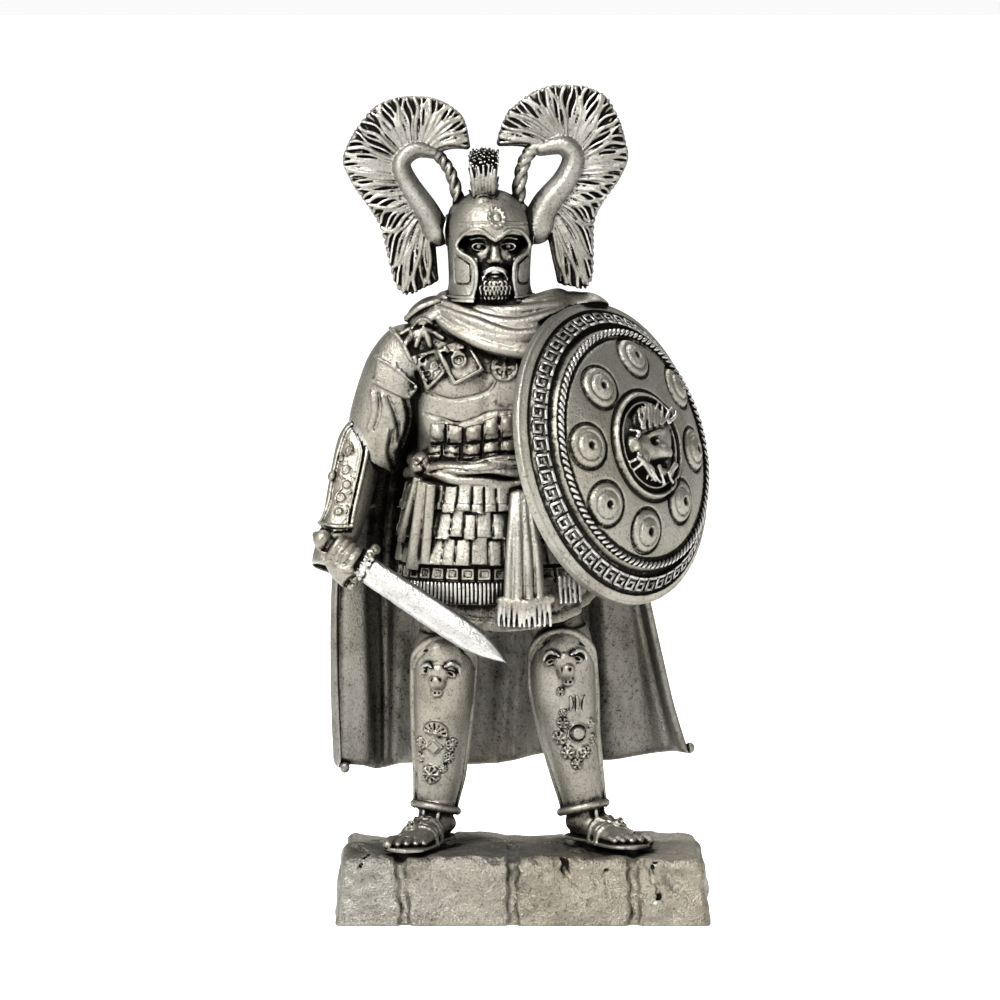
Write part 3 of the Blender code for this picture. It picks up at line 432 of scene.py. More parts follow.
def carve_head():
    clay = Clay((-8.2, -6.6, 52.6), (2.4, 5.4, 70.6), 0.075)
    hx, hy = HEAD
    turn = math.radians(8)
    c, s = math.cos(turn), math.sin(turn)

    def spot(across, ahead, z):
        """A place on the turned head: across to the viewer's right, ahead to the front."""
        return np.array((hx + across * c + ahead * s, hy - ahead * c + across * s, z))

    facing = np.array(((c, s, 0), (0, 0, 1), (s, -c, 0)))
    # The bowl and the cheek and neck guards are one oval shell, flared at the foot
    rows = ((54.4, 4.25, 4.2), (55.0, 3.85, 3.95), (55.9, 3.6, 3.75), (57.6, 3.62, 3.8), (59.2, 3.72, 3.88),
            (60.6, 3.8, 3.95), (61.6, 3.62, 3.75), (62.6, 3.1, 3.2), (63.4, 2.4, 2.45), (63.95, 1.5, 1.5),
            (64.2, 0.6, 0.6))
    clay.limb([(hx, hy, z, a, b) for z, a, b in rows], blend=0.1)
    # Hollow behind the face opening, open below
    clay.limb([(hx, hy, z - 0.35, max(a - 0.55, 0.2), max(b - 0.55, 0.2)) for z, a, b in rows[:-3]],
              cut=True)
    # Opening: two wide eye holes under arched brows and a long slot for nose and mouth
    for side in (-1, 1):
        clay.egg(spot(side * 1.5, 3.6, 59.35), (1.45, 1.0, 2.0), facing, cut=True, blend=0.15)
        clay.egg(spot(side * 2.35, 3.1, 59.6), (0.85, 0.62, 2.0), facing, cut=True, blend=0.15)
    clay.slab(spot(0, 3.6, 59.1), (1.6, 0.75, 2.0), facing, 0.3, cut=True, blend=0.1)
    clay.limb([(*spot(0, 3.6, 54.0), 1.9, 1.6), (*spot(0, 3.6, 56.4), 1.62, 1.6),
               (*spot(0, 3.6, 58.8), 1.5, 1.6)],
              cut=True, blend=0.1, fat=4.0)
    # Face: skull, nose, brow, cheeks, lips and a trimmed beard on even, general proportions
    clay.egg(spot(0, -0.2, 58.6), (2.75, 3.15, 3.3), facing, blend=0.05)
    clay.egg(spot(0, 2.35, 60.2), (1.9, 0.6, 0.75), facing, blend=0.3)
    clay.limb([(*spot(0, 2.9, 60.1), 0.3, 0.35), (*spot(0, 3.45, 58.9), 0.36, 0.42),
               (*spot(0, 3.75, 58.15), 0.5, 0.45), (*spot(0, 3.55, 57.85), 0.45, 0.4)], blend=0.22)
    for side in (-1, 1):
        clay.egg(spot(side * 0.42, 3.42, 58.02), (0.3, 0.24, 0.3), facing, blend=0.12)
        clay.egg(spot(side * 1.28, 2.35, 59.3), (0.85, 0.48, 0.6), facing, cut=True, blend=0.25)
        clay.egg(spot(side * 1.26, 2.2, 59.3), (0.5, 0.42, 0.55), facing, blend=0.06)
        lids = [spot(side * (1.26 + 0.62 * math.cos(t)), 2.72, 59.27 + 0.32 * math.sin(t))
                for t in np.linspace(0, math.pi, 9)]
        clay.tube(lids, 0.11, blend=0.04)
        lids = [spot(side * (1.26 + 0.6 * math.cos(t)), 2.68, 59.2 - 0.26 * math.sin(t))
                for t in np.linspace(0, math.pi, 9)]
        clay.tube(lids, 0.09, blend=0.04)
        brow = [spot(side * 0.45, 3.1, 59.95), spot(side * 1.2, 3.02, 60.12), spot(side * 2.0, 2.6, 59.95)]
        clay.tube(smooth_curve(brow, 4), 0.16, blend=0.1)
        clay.egg(spot(side * 1.45, 2.35, 58.1), (0.75, 0.6, 0.6), facing, blend=0.3)
    clay.egg(spot(0, 2.2, 56.3), (1.5, 1.9, 1.3), facing, blend=0.35)
    clay.tube([spot(-0.55, 3.5, 57.02), spot(0, 3.72, 57.08), spot(0.55, 3.5, 57.02)], (0.1, 0.16, 0.1),
              blend=0.08)
    clay.tube([spot(-0.45, 3.45, 56.74), spot(0, 3.68, 56.7), spot(0.45, 3.45, 56.74)], (0.1, 0.17, 0.1),
              blend=0.08)
    clay.tube([spot(-0.6, 3.72, 56.89), spot(0, 3.95, 56.89), spot(0.6, 3.72, 56.89)], 0.1, cut=True)
    for side in (-1, 1):
        for k in range(4):
            root = spot(side * 0.08, 3.78, 57.5 - 0.06 * k)
            bend = spot(side * (0.6 + 0.05 * k), 3.72, 57.38 - 0.11 * k)
            tip = spot(side * (1.22 - 0.06 * k), 3.3, 57.0 - 0.2 * k)
            clay.tube(smooth_curve((root, bend, tip), 5), np.linspace(0.15, 0.07, 11), blend=0.03)
    # Beard: a full trimmed form under rows of short hooked curls
    clay.egg(spot(0, 2.75, 55.6), (1.5, 1.15, 1.35), facing, blend=0.25)
    for row in range(6):
        z = 56.5 - row * 0.4
        wide = 1.5 - 0.07 * row
        count = 8 - row % 2
        for k in range(count):
            across = wide * (2 * (k + 0.5) / count - 1)
            if row == 0 and abs(across) < 0.62:
                continue
            start = spot(across, 9.0, z)
            places, _ = clay.met_by([start], [-facing[2]])
            at = (places[0] - spot(0, 0, 0)) @ facing[2]
            turn = 1 if across > 0 else -1
            hook = [spot(across + turn * 0.15 * math.cos(t), at + 0.08, z + 0.19 * math.sin(t))
                    for t in np.linspace(-0.8, 3.9, 8)]
            clay.tube(hook, np.linspace(0.13, 0.07, 8))
    # Raised rim round the whole opening: brows, then down both cheek guards
    for side in (-1, 1):
        rim = [(0.0, 59.9), (0.45, 60.15), (1.2, 60.75), (2.1, 60.72), (2.85, 60.15), (3.22, 59.35),
               (2.9, 58.75),
               (2.2, 58.35), (1.75, 57.8), (1.62, 56.8), (1.7, 55.8), (1.95, 54.9)]
        dense = smooth_curve(rim, 5)
        depth = np.interp(dense[:, 0], (0, 1.2, 2.2, 3.0, 3.4), (3.95, 3.75, 3.2, 2.5, 2.0))
        places = np.array([spot(side * a, d, z) for (a, z), d in zip(dense, depth)])
        clay.tube(places, 0.19, blend=0.05)
    # Cheek panels: a sunk field with a fine border, and a lower hem
    for side in (-1, 1):
        field = [(2.15, 57.75), (2.75, 58.2), (3.25, 58.4), (3.3, 57.2), (3.2, 56.1), (2.2, 56.1),
                 (2.1, 57.0),
                 (2.15, 57.75)]
        dense = smooth_curve(field, 4)
        starts = [spot(side * a, 8.0, z) for a, z in dense]
        places, normals = clay.met_by(starts, np.tile(-facing[2], (len(starts), 1)))
        clay.trace(places, normals, 0.16, 0.1, cut=True)
    ring = []
    for t in np.linspace(0, math.tau, 73):
        ring.append((hx + 4.0 * math.cos(t), hy + 4.0 * math.sin(t), 54.85))
    keep = [p for p in ring if not (abs(p[0] - hx - 0.5) < 1.75 and p[1] < hy)]
    split = [k for k in range(1, len(keep)) if np.hypot(*(np.array(keep[k]) - keep[k - 1])[:2]) > 1.0]
    start = split[0] if split else 0
    clay.tube(keep[start:] + keep[:start], 0.17, blend=0.05)
    # Brow band with a raised line, and the oval medallion over the forehead
    for z, radius in ((60.95, 0.1), (61.25, 0.08)):
        band = [spot(3.72 * math.cos(t), 3.85 * math.sin(t),
                     z + 0.15 * math.sin(t)) for t in np.linspace(0.6, 2.54, 30)]
        clay.tube(band, radius, blend=0.03)
    middle = spot(0.12, 3.5, 61.75)
    tilt = axes_of(spot(0, 1, 0) - spot(0, 0, 0) + np.array((0, 0, 0.55)))
    clay.egg(middle, (0.85, 1.05, 0.5), tilt, blend=0.05)
    clay.egg(middle + tilt[2] * 0.42, (0.62, 0.8, 0.22), tilt, cut=True)
    clay.egg(middle + tilt[2] * 0.3, (0.36, 0.5, 0.22), tilt)
    for t in np.linspace(0, math.tau, 13)[:-1]:
        bead = middle + tilt[0] * 0.72 * math.cos(t) + tilt[1] * 0.9 * math.sin(t) + tilt[2] * 0.3
        clay.egg(bead, (0.11, 0.11, 0.11))
    # Collars where the plumes' horns and struts enter
    for side in (-1, 1):
        clay.egg((hx + side * 2.75, hy, 62.25), (0.95, 1.25, 0.75),
                 axes_of((side * 0.7, 0, 0.7), (0, 1, 0)),
                 blend=0.12)
        clay.egg((hx + side * 3.6, hy, 60.6), (1.0, 1.0, 0.4), axes_of((side, 0, 0.1)), blend=0.12)
        ring = [np.array((hx + side * (3.95 - 0.25 * abs(math.sin(t))), hy + 1.25 * math.cos(t),
                          60.6 + 1.25 * math.sin(t)))
                for t in np.linspace(0, math.tau, 25)]
        clay.tube(ring, 0.16)
    # Middle crest over the crown
    for row in range(38):
        t = math.radians(-36 + 126 * row / 37)
        y, z = hy + 0.1 + 3.15 * math.sin(t), 60.6 + 3.4 * math.cos(t)
        long = 3.75 - 0.3 * max(0.0, math.sin(t))
        for k in range(7):
            across = (k - 3) / 3
            lean = 0.22 * across
            wob = 0.13 * math.sin(row * 2.63 + k * 1.9) + 0.07 * math.sin(row * 7.1 - k * 3.3)
            foot = (hx - 0.5 + 0.7 * across, y, z)
            tip = (hx - 0.5 + 1.12 * across + wob, y + (long - 0.3 * abs(across)) * math.sin(t) + wob,
                   z + (long - 0.25 * abs(across) + wob) * math.cos(t))
            middle = (hx - 0.5 + (0.85 + 0.1 * abs(lean)) * across, y + 0.5 * long * math.sin(t + 0.02),
                      z + 0.5 * long * math.cos(t + 0.02))
            clay.tube((foot, middle, tip), (0.26, 0.23, 0.11))
    crest = [(hx - 0.5, hy + 0.1 + 3.15 * math.sin(t), 60.6 + 3.3 * math.cos(t))
             for t in np.radians(np.linspace(-40, 92, 30))]
    clay.tube(crest, 0.75, blend=0.1)
    return clay


# Body, clothes and armour


def around(x, y, middle, wide, deep):
    """How far along an oval's edge a place is from its front, in millimetres."""
    turn = np.arctan2((x - middle[0]) / wide, -(y - middle[1]) / deep)
    return turn * (wide + deep) / 2 * 1.02


def ring_path(middle, wide, deep, z, count=64, start=0.0, end=math.tau):
    return [(middle[0] + wide * math.sin(t), middle[1] - deep * math.cos(t), z)
            for t in np.linspace(start, end, count)]


def plate_rows(clay, rows, middle, wide, deep, pitch, reach):
    """Overlapping rows of narrow armour plates round the hips, each thicker at its foot."""
    for number, (top, foot) in enumerate(rows):
        tall = top - foot

        def height(x, y, z, foot=foot, top=top, tall=tall, number=number):
            along = around(x, y, middle, wide, deep)
            sway = along + 0.12 * np.sin(along * 1.3 + number * 2.0)
            share = sway / pitch + 0.41 * number
            u = np.mod(share, 1.0)
            side = np.minimum(u, 1 - u) * pitch
            uneven = 0.1 * np.sin(np.floor(share) * 2.7 + number)
            down = top - z + uneven
            ends = np.minimum(down, tall - down)
            raised = ease(0.0, 0.1, np.minimum(side, ends + 0.02)) * 0.26
            crown = 0.08 * np.sin(math.pi * u)
            lap = 0.3 * down / tall + 0.5 * uneven
            return np.where((np.abs(along) < reach) & (ends > 0), raised * (1 + crown) + lap, 0)

        clay.raise_by((middle[0] - wide - 2, middle[1] - deep - 2, foot - 0.02),
                      (middle[0] + wide + 2, middle[1] + deep + 2, top + 0.02), height)


def carve_torso():
    clay = Clay((-15.6, -8.6, 24.4), (9.6, 5.6, 56.6), 0.115)
    # Body under the armour
    clay.limb([(-3.0, 0.2, 56.0, 2.2, 2.2), (-3.0, 0.2, 54.6, 2.6, 2.4), (-3.0, 0.2, 53.0, 3.6, 2.9),
               (-3.1, 0.2, 51.6, 6.2, 3.4), (-3.1, 0.1, 49.8, 7.1, 4.0), (-3.1, 0.0, 47.7, 6.7, 4.4),
               (-3.2, 0.0, 44.8, 6.2, 4.2), (-3.3, 0.1, 41.8, 6.0, 3.95), (-3.4, 0.0, 39.8, 6.2, 4.0),
               (-3.4, 0.0, 37.0, 6.6, 4.35), (-3.3, 0.0, 33.2, 7.0, 4.7), (-3.2, 0.0, 30.0, 7.2, 4.8)])
    for side in (-1, 1):
        clay.egg((-3.1 + side * 2.7, -2.9, 47.9), (2.9, 1.75, 2.3), blend=0.7)
        clay.egg((-3.1 + side * 4.6, -2.0, 45.0), (1.4, 1.5, 2.8), blend=0.9)
    clay.tube([(-3.1, -5.3, 50.0), (-3.1, -4.85, 47.0), (-3.2, -4.7, 42.0)], 0.35, blend=0.8, cut=True)
    # Cuirass: the lines under the chest, and plates in two rows over the belly
    for line in (((419, 388), (436, 396), (453, 400), (472, 397), (488, 391), (495, 381)),
                 ((497, 402), (508, 406), (522, 404), (534, 398))):
        clay.stroke(line, 0.34, 0.14, cut=True, blend=0.15)
    clay.stroke(((424, 414), (440, 418), (458, 423), (474, 419), (492, 412), (514, 411)), 0.3, 0.12,
                cut=True, blend=0.1)
    plates = (((431, 424), (445, 424), (445, 442), (430, 443)),
              ((447, 424), (463, 427), (462, 444), (447, 443)),
              ((466, 427), (482, 424), (482, 440), (466, 443)),
              ((484, 421), (498, 416), (499, 438), (484, 441)),
              ((501, 416), (513, 414), (514, 436), (501, 438)),
              ((429, 445), (441, 445), (440, 461), (428, 461)),
              ((443, 445), (460, 446), (459, 461), (443, 461)),
              ((463, 445), (481, 443), (481, 459), (463, 460)),
              ((484, 443), (499, 441), (499, 457), (484, 458)),
              ((501, 441), (514, 439), (514, 455), (502, 456)))
    for corners in plates:
        clay.patch(corners, 0.24)
    for corners in plates:
        middle = np.mean(corners, axis=0)
        clay.boss(middle, (0.62, 0.55), 0.34, blend=0.3)
    # Tunic: a bell with folds, its hem lower in front than at the sides
    hem = Clay((-11.5, -7.8, 24.4), (8.0, 5.6, 34.5), 0.115)
    hem.limb([(-2.9, 0.1, 34.0, 7.0, 4.7), (-2.5, 0.1, 31.0, 7.4, 5.0), (-1.9, 0.1, 28.0, 7.8, 5.2),
              (-1.5, 0.1, 24.6, 8.1, 5.4)])

    def folds(x, y, z):
        along = around(x, y, (-1.8, 0.1), 7.8, 5.2)
        hang = np.clip((33 - z) / 7, 0, 1)
        return hang * (0.3 * np.sin(along * 1.35 + 0.5) + 0.16 * np.sin(along * 3.1 + 1.0))

    hem.raise_by((-12, -8, 24), (9, 6, 34), folds)

    def hem_level(x, y):
        front = np.clip(-y / 5, -1, 1)
        return 27.0 - 1.35 * front + 0.035 * (x + 3) ** 2 * (x < -3) + 0.014 * (x + 3) ** 2 * (x > -3)

    def under(x, y, z):
        return hem_level(x, y) - z

    hem.raise_by((-12, -8, 24), (9, 6, 34),
                 lambda x, y, z: 0.16 * ease(0.95, 0.75, -under(x, y, z))
                 - 0.12 * np.exp(-(((-under(x, y, z)) - 1.02) / 0.12) ** 2))
    where, x, y, z = hem.part((-12, -8, 24), (9, 6, 35))
    hem.field[where] = np.maximum(hem.field[where], under(x, y, z))
    hollow = Clay((-11.5, -7.8, 24.4), (8.0, 5.6, 34.5), 0.115)
    hollow.limb([(-1.5, 0.1, 24.0, 7.2, 4.5), (-2.2, 0.1, 27.4, 6.3, 3.9)])
    hem.field[...] = np.maximum(hem.field, -hollow.field)
    where = clay.part((-11.5, -7.8, 24.4), (8.0, 5.6, 34.5))[0]
    offset = [int(round((a[s.start] - b[0]) / clay.step)) for a, s, b in zip(clay.axes, where, hem.axes)]
    part = tuple(slice(o, o + s.stop - s.start) for o, s in zip(offset, where))
    other = hem.field[part]
    where = tuple(slice(s.start, s.start + n) for s, n in zip(where, other.shape))
    clay.field[where] = np.minimum(clay.field[where], other)
    # Armoured skirt in three rows of plates, then lappets with square ornaments and a fringe
    middle, wide, deep = (-3.4, 0.0), 7.0, 4.75
    for top, foot, grow in ((38.9, 36.2, 0.0), (36.4, 33.9, 0.3), (34.1, 31.4, 0.55), (31.6, 29.9, 0.7),
                            (30.1, 28.0, 0.62)):
        clay.limb([(middle[0], middle[1], top, wide - 0.35 + grow, deep - 0.35 + grow),
                   (middle[0], middle[1], foot, wide - 0.15 + grow, deep - 0.15 + grow)])
    plate_rows(clay, ((38.5, 36.15), (36.15, 33.85), (33.85, 31.45)), middle, wide + 0.4, deep + 0.4, 1.12,
               30.0)

    def lappets(x, y, z):
        along = around(x, y, middle, wide + 0.7, deep + 0.7)
        u = (np.mod(along / 1.28 + 0.5, 1) - 0.5) * 1.28
        v = z - 30.72
        box = np.maximum(np.abs(u), np.abs(v))
        frame_part = 0.2 * ease(0.13, 0.07, np.abs(box - 0.42))
        gap = -0.25 * ease(0.1, 0.04, 0.64 - np.abs(u))
        return np.where(np.abs(v) < 0.8, frame_part + gap, 0)

    clay.raise_by((-12, -7, 29.9), (6, 7, 31.5), lappets)
    # Belt: a twisted sash in overlapping folds, knotted at the soldier's right
    for k, (level, grow, thick) in enumerate(((40.35, 0.15, 0.52), (39.6, 0.35, 0.55), (38.95, 0.25, 0.5))):
        turns = np.linspace(-math.pi, math.pi, 90)
        line = [(-3.35 + (6.25 + grow + 0.12 * math.sin(4 * t + 2 * k)) * math.sin(t),
                 -0.05 - (4.15 + grow + 0.12 * math.sin(4 * t + 2 * k)) * math.cos(t),
                 level + 0.4 * math.sin(2.2 * t + 1.9 * k) + 0.1 * math.sin(9 * t + k)) for t in turns]
        clay.tube(line, thick, blend=0.06)
    for line in (((424, 466), (444, 459), (470, 463), (500, 459), (530, 462)),
                 ((428, 473), (450, 469), (480, 472), (512, 468), (532, 470)),
                 ((424, 455), (446, 453), (468, 456), (500, 452), (530, 455))):
        clay.stroke(line, 0.2, 0.14, cut=True)
    clay.boss((420, 463), (0.9, 1.1), 0.7, blend=0.2)
    clay.stroke(((414, 458), (420, 462), (425, 470)), 0.22, 0.15, cut=True)
    clay.stroke(((414, 466), (420, 464), (426, 458)), 0.22, 0.15, cut=True)
    # Long hip strips on the soldier's right, and the hanging end of the sash with its fringe
    for top, foot, width in (((424, 478), (411, 566), 14), ((431, 480), (424, 560), 10),
                             ((418, 474), (400, 540), 10)):
        across = np.linspace((top[0] - 500) * 0.087 - 2.02, (foot[0] - 500) * 0.0865 - 2.02, 4)
        levels = 40.2 - (np.linspace(top[1], foot[1], 4) - 462) * 0.0885
        bulge = np.sqrt(np.maximum(0.05, 1 - ((across - middle[0]) / (wide + 0.95)) ** 2))
        half = width * 0.044
        hang = zip(across, -(deep + 0.95) * bulge, levels)
        clay.limb([(*p, half, 0.36) for p in hang], fat=3.5, blend=0.05)
    for shift, thick in ((-1.3, 0.42), (-0.55, 0.55), (0.3, 0.5), (1.1, 0.42)):
        clay.tube(smooth_curve([(-0.1 + shift * 0.5, -4.9, 37.6), (0.0 + shift * 0.7, -5.5, 35.6),
                                (0.15 + shift, -6.0, 32.5), (0.2 + shift * 1.15, -6.35, 28.6)], 4), thick,
                  blend=0.08)
    clay.tube([(-1.9, -6.25, 28.5), (0.4, -6.75, 28.3), (2.4, -6.2, 28.7)], 0.42, blend=0.05)
    for k in range(11):
        x = -2.0 + 0.42 * k
        y = -6.85 + 0.035 * (k - 5) ** 2 * 0.6
        clay.tube([(x, y, 28.5), (x * 1.04, y - 0.08, 27.4),
                   (x * 1.06 + 0.05 * math.sin(k * 2), y - 0.02, 26.35)],
                  (0.24, 0.21, 0.15))
    for k in range(5):
        x = 3.2 + 0.42 * k
        clay.tube([(x, -5.4 + 0.22 * k, 30.4), (x + 0.1, -5.65 + 0.22 * k, 28.3)], (0.26, 0.16))
    # Upper arm in its wide short sleeve
    clay.limb([(-7.4, 0.3, 51.3, 2.3, 2.7), (-9.2, 0.3, 50.6, 2.75, 2.95), (-10.9, 0.5, 48.2, 3.0, 3.0),
               (-12.0, 0.8, 45.2, 3.05, 2.95), (-12.9, 1.0, 42.4, 2.85, 2.8),
               (-13.4, 1.1, 40.4, 2.35, 2.5)], blend=0.4)
    for line in (((382, 396), (392, 420), (396, 446)), ((400, 398), (404, 420), (396, 448)),
                 ((372, 392), (374, 412), (368, 430)), ((390, 470), (384, 452), (388, 430))):
        clay.stroke(line, 0.5, 0.16, blend=0.2, taper=True)
        clay.stroke([(a + 6, b) for a, b in line], 0.35, 0.14, cut=True, blend=0.15, taper=True)
    # Broad sleeve strips with raised edges
    clay.patch(((391, 328), (411, 357), (418, 383), (392, 363), (377, 354), (382, 340)), 0.3)
    clay.patch(((377, 357), (392, 364), (417, 385), (408, 396), (391, 388), (374, 379)), 0.34)
    for line in (((391, 330), (401, 343), (411, 360)), ((377, 356), (392, 364), (405, 373), (417, 384)),
                 ((374, 380), (392, 389), (408, 396)), ((408, 396), (416, 386))):
        clay.stroke(line, 0.42, 0.38, blend=0.05)
    # Collar lappet, palmette and the two yoke flaps with their studs
    clay.egg((-8.5, -1.2, 53.55), (2.1, 1.9, 0.62), axes_of((-0.5, -0.42, 0.76)), blend=0.15)
    clay.egg((-8.1, -0.4, 52.8), (2.0, 1.9, 1.0), axes_of((-0.4, -0.2, 0.8)), blend=0.4)
    clay.tube(smooth_curve([(-10.2, -1.6, 52.9), (-9.0, -2.2, 53.9), (-7.4, -2.2, 54.5)], 4), 0.3,
              blend=0.05)
    clay.patch(((412, 356), (436, 349), (446, 372), (427, 391)), 0.5, border=0.3, sink=0.26)
    clay.patch(((436, 350), (468, 341), (485, 370), (454, 386)), 0.75, border=0.32, sink=0.3)
    clay.patch(((443, 346), (455, 341), (465, 345), (463, 354), (448, 357)), 0.22)

    def stud(r, turn):
        return 0.3 * np.exp(-((r - 0.42) / 0.13) ** 2) + 0.24 * np.exp(-(r / 0.17) ** 2)

    clay.seal((459, 361), 0.9, lambda r, t: stud(r * 0.72, t) * 1.1)
    clay.seal((419, 363), 0.62, stud)
    clay.seal((429, 375), 0.62, lambda r, t: stud(r, t) - 0.07 * (np.cos(6 * t) > 0.4) * (r > 0.25))
    clay.seal((435, 366), 0.5, lambda r, t: 0.8 * stud(r * 1.2, t))
    for tip in ((401, 336), (405, 344), (416, 346), (431, 347), (444, 339)):
        root = (423, 326)
        mid = (0.45 * root[0] + 0.55 * tip[0], 0.45 * root[1] + 0.55 * tip[1])
        places, normals = clay.seen((root, mid, tip))
        clay.tube(places + normals * 0.16, (0.12, 0.36, 0.26), blend=0.04)
    clay.stroke(((411, 333), (416, 324), (424, 319), (434, 324), (440, 332)), 0.32, 0.28, blend=0.05)
    # Round pierced brooch
    clay.seal((505, 368), 1.35, lambda r, t: 0.42 * ease(1.28, 1.18,
                                                         r) - 0.3 * np.exp(-((r - 0.62) / 0.3) ** 2)
              * (np.abs(np.sin(2 * t)) > 0.55) - 0.16 * np.exp(-((r - 1.02) / 0.06) ** 2))
    clay.seal((505, 368), 0.4, lambda r, t: 0.16 * np.exp(-(r / 0.2) ** 2))
    # Cloak's drape over the chest, in folds from the right shoulder to the left
    guides = (
        ((-7.9, -2.0, 53.3), (-5.6, -4.0, 51.7), (-1.0, -5.2, 50.4), (3.2, -4.5, 50.3), (6.2, -1.4, 51.4)),
        ((-7.7, -1.9, 53.8), (-4.8, -4.0, 52.6), (-0.8, -4.9, 51.5), (3.6, -3.8, 51.9), (6.2, -0.4, 52.8)),
        ((-7.4, -1.7, 54.2), (-4.4, -3.7, 53.3), (-0.6, -4.4, 52.6), (3.2, -3.3, 53.2), (5.2, 0.2, 53.8)),
        ((-7.0, -1.3, 54.6), (-4.0, -3.1, 54.0), (-0.7, -3.6, 53.6), (2.8, -2.6, 54.2), (4.4, 0.6, 54.5)),
        ((-6.4, -0.7, 54.9), (-3.6, -2.5, 54.6), (-0.7, -2.8, 54.3), (2.4, -1.9, 54.9), (3.6, 0.9, 54.6)),
    )
    guides = np.array(guides)
    for share, thick, out in ((0.0, 0.5, 0.0), (0.42, 0.34, 0.1), (0.85, 0.42, 0.12), (1.3, 0.52, 0.2),
                              (1.75, 0.34, 0.1),
                              (2.15, 0.46, 0.18), (2.6, 0.34, 0.12), (3.05, 0.46, 0.16), (3.5, 0.3, 0.05),
                              (4.0, 0.42, 0.05)):
        k = min(int(share), 3)
        line = guides[k] + (guides[k + 1] - guides[k]) * (share - k)
        line = smooth_curve(line, 8)
        count = len(line)
        swell = 0.72 + 0.35 * np.sin(np.linspace(0.2, 2.9,
                                                 count)) + 0.06 * np.sin(np.arange(count) * 0.7 + share * 5)
        line[:, 1] -= out
        line[:, 2] += 0.12 * np.sin(np.arange(count) * 0.33 + share * 9)
        clay.tube(line + np.array((0, 0.62, -0.05)), 0.62, blend=0.2)
        clay.tube(line, thick * swell, blend=0.05)
    # Cloth over the left shoulder
    clay.limb([(1.6, 0.6, 53.6, 1.6, 2.2), (4.6, 0.5, 53.2, 2.4, 2.7), (6.6, 0.6, 51.4, 2.5, 2.9),
               (7.6, 0.8, 48.6, 2.3, 2.8)],
              blend=0.5)
    return clay


# Legs


RIGHT_LEG = ((-6.85, -1.0, 25.2, 2.3, 2.2), (-6.9, -1.0, 23.4, 2.72, 2.65), (-7.05, -0.5, 19.7, 2.62, 2.7),
             (-7.25, 0.1, 15.7, 2.35, 2.4), (-7.4, 0.3, 12.0, 2.0, 2.0), (-7.75, 0.4, 9.4, 1.65, 1.7))
LEFT_LEG = ((3.35, -1.0, 25.6, 2.3, 2.2), (3.45, -1.0, 23.8, 2.72, 2.65), (3.6, -0.5, 20.1, 2.85, 2.7),
            (4.1, 0.1, 16.0, 2.45, 2.4), (4.85, 0.3, 12.1, 2.05, 2.0), (5.4, 0.4, 9.5, 1.75, 1.7))


def leg_point(rows, level, turn, grow=0.0):
    """A point on the greave: turn is measured round from its front."""
    table = np.array(rows)[::-1]
    x, y, wide, deep = (np.interp(level, table[:, 2], table[:, k]) for k in (0, 1, 3, 4))
    return x + (wide + grow) * math.sin(turn), y - (deep + grow) * math.cos(turn), level


def bull_head(clay, middle, muzzle, eyes, horns, ears):
    """A small bull's mask in relief."""
    clay.boss(middle, (1.0, 0.95), 0.6, blend=0.1)
    clay.boss(((middle[0] + muzzle[0]) / 2, (middle[1] + muzzle[1]) / 2), (0.74, 1.05), 0.7, blend=0.1)
    clay.boss(muzzle, (0.58, 0.52), 0.62, blend=0.1)
    for eye in eyes:
        clay.boss(eye, (0.2, 0.17), 0.24, cut=True)
        clay.boss(eye, (0.11, 0.11), 0.05)
    for line in horns:
        clay.stroke(line, 0.44, 0.44, blend=0.05, taper=True)
    for ear, turn in ears:
        clay.boss(ear, (0.62, 0.34), 0.38, blend=0.04, turn=turn)
        clay.boss(ear, (0.32, 0.12), 0.32, cut=True, turn=turn)
    for shift in (-2.0, 2.0):
        clay.boss((muzzle[0] + shift, muzzle[1] + 1), (0.1, 0.1), 0.5, cut=True)


def rosette(clay, middle, radius, petals=8):
    """A ring of petals round a bead."""
    clay.seal(middle, radius, lambda r, t: 0.34 * ease(radius, radius * 0.86, r)
              * (0.2 + 0.8 * np.abs(np.cos(petals / 2 * t))) + 0.2 * np.exp(-(r / (radius * 0.28)) ** 2))


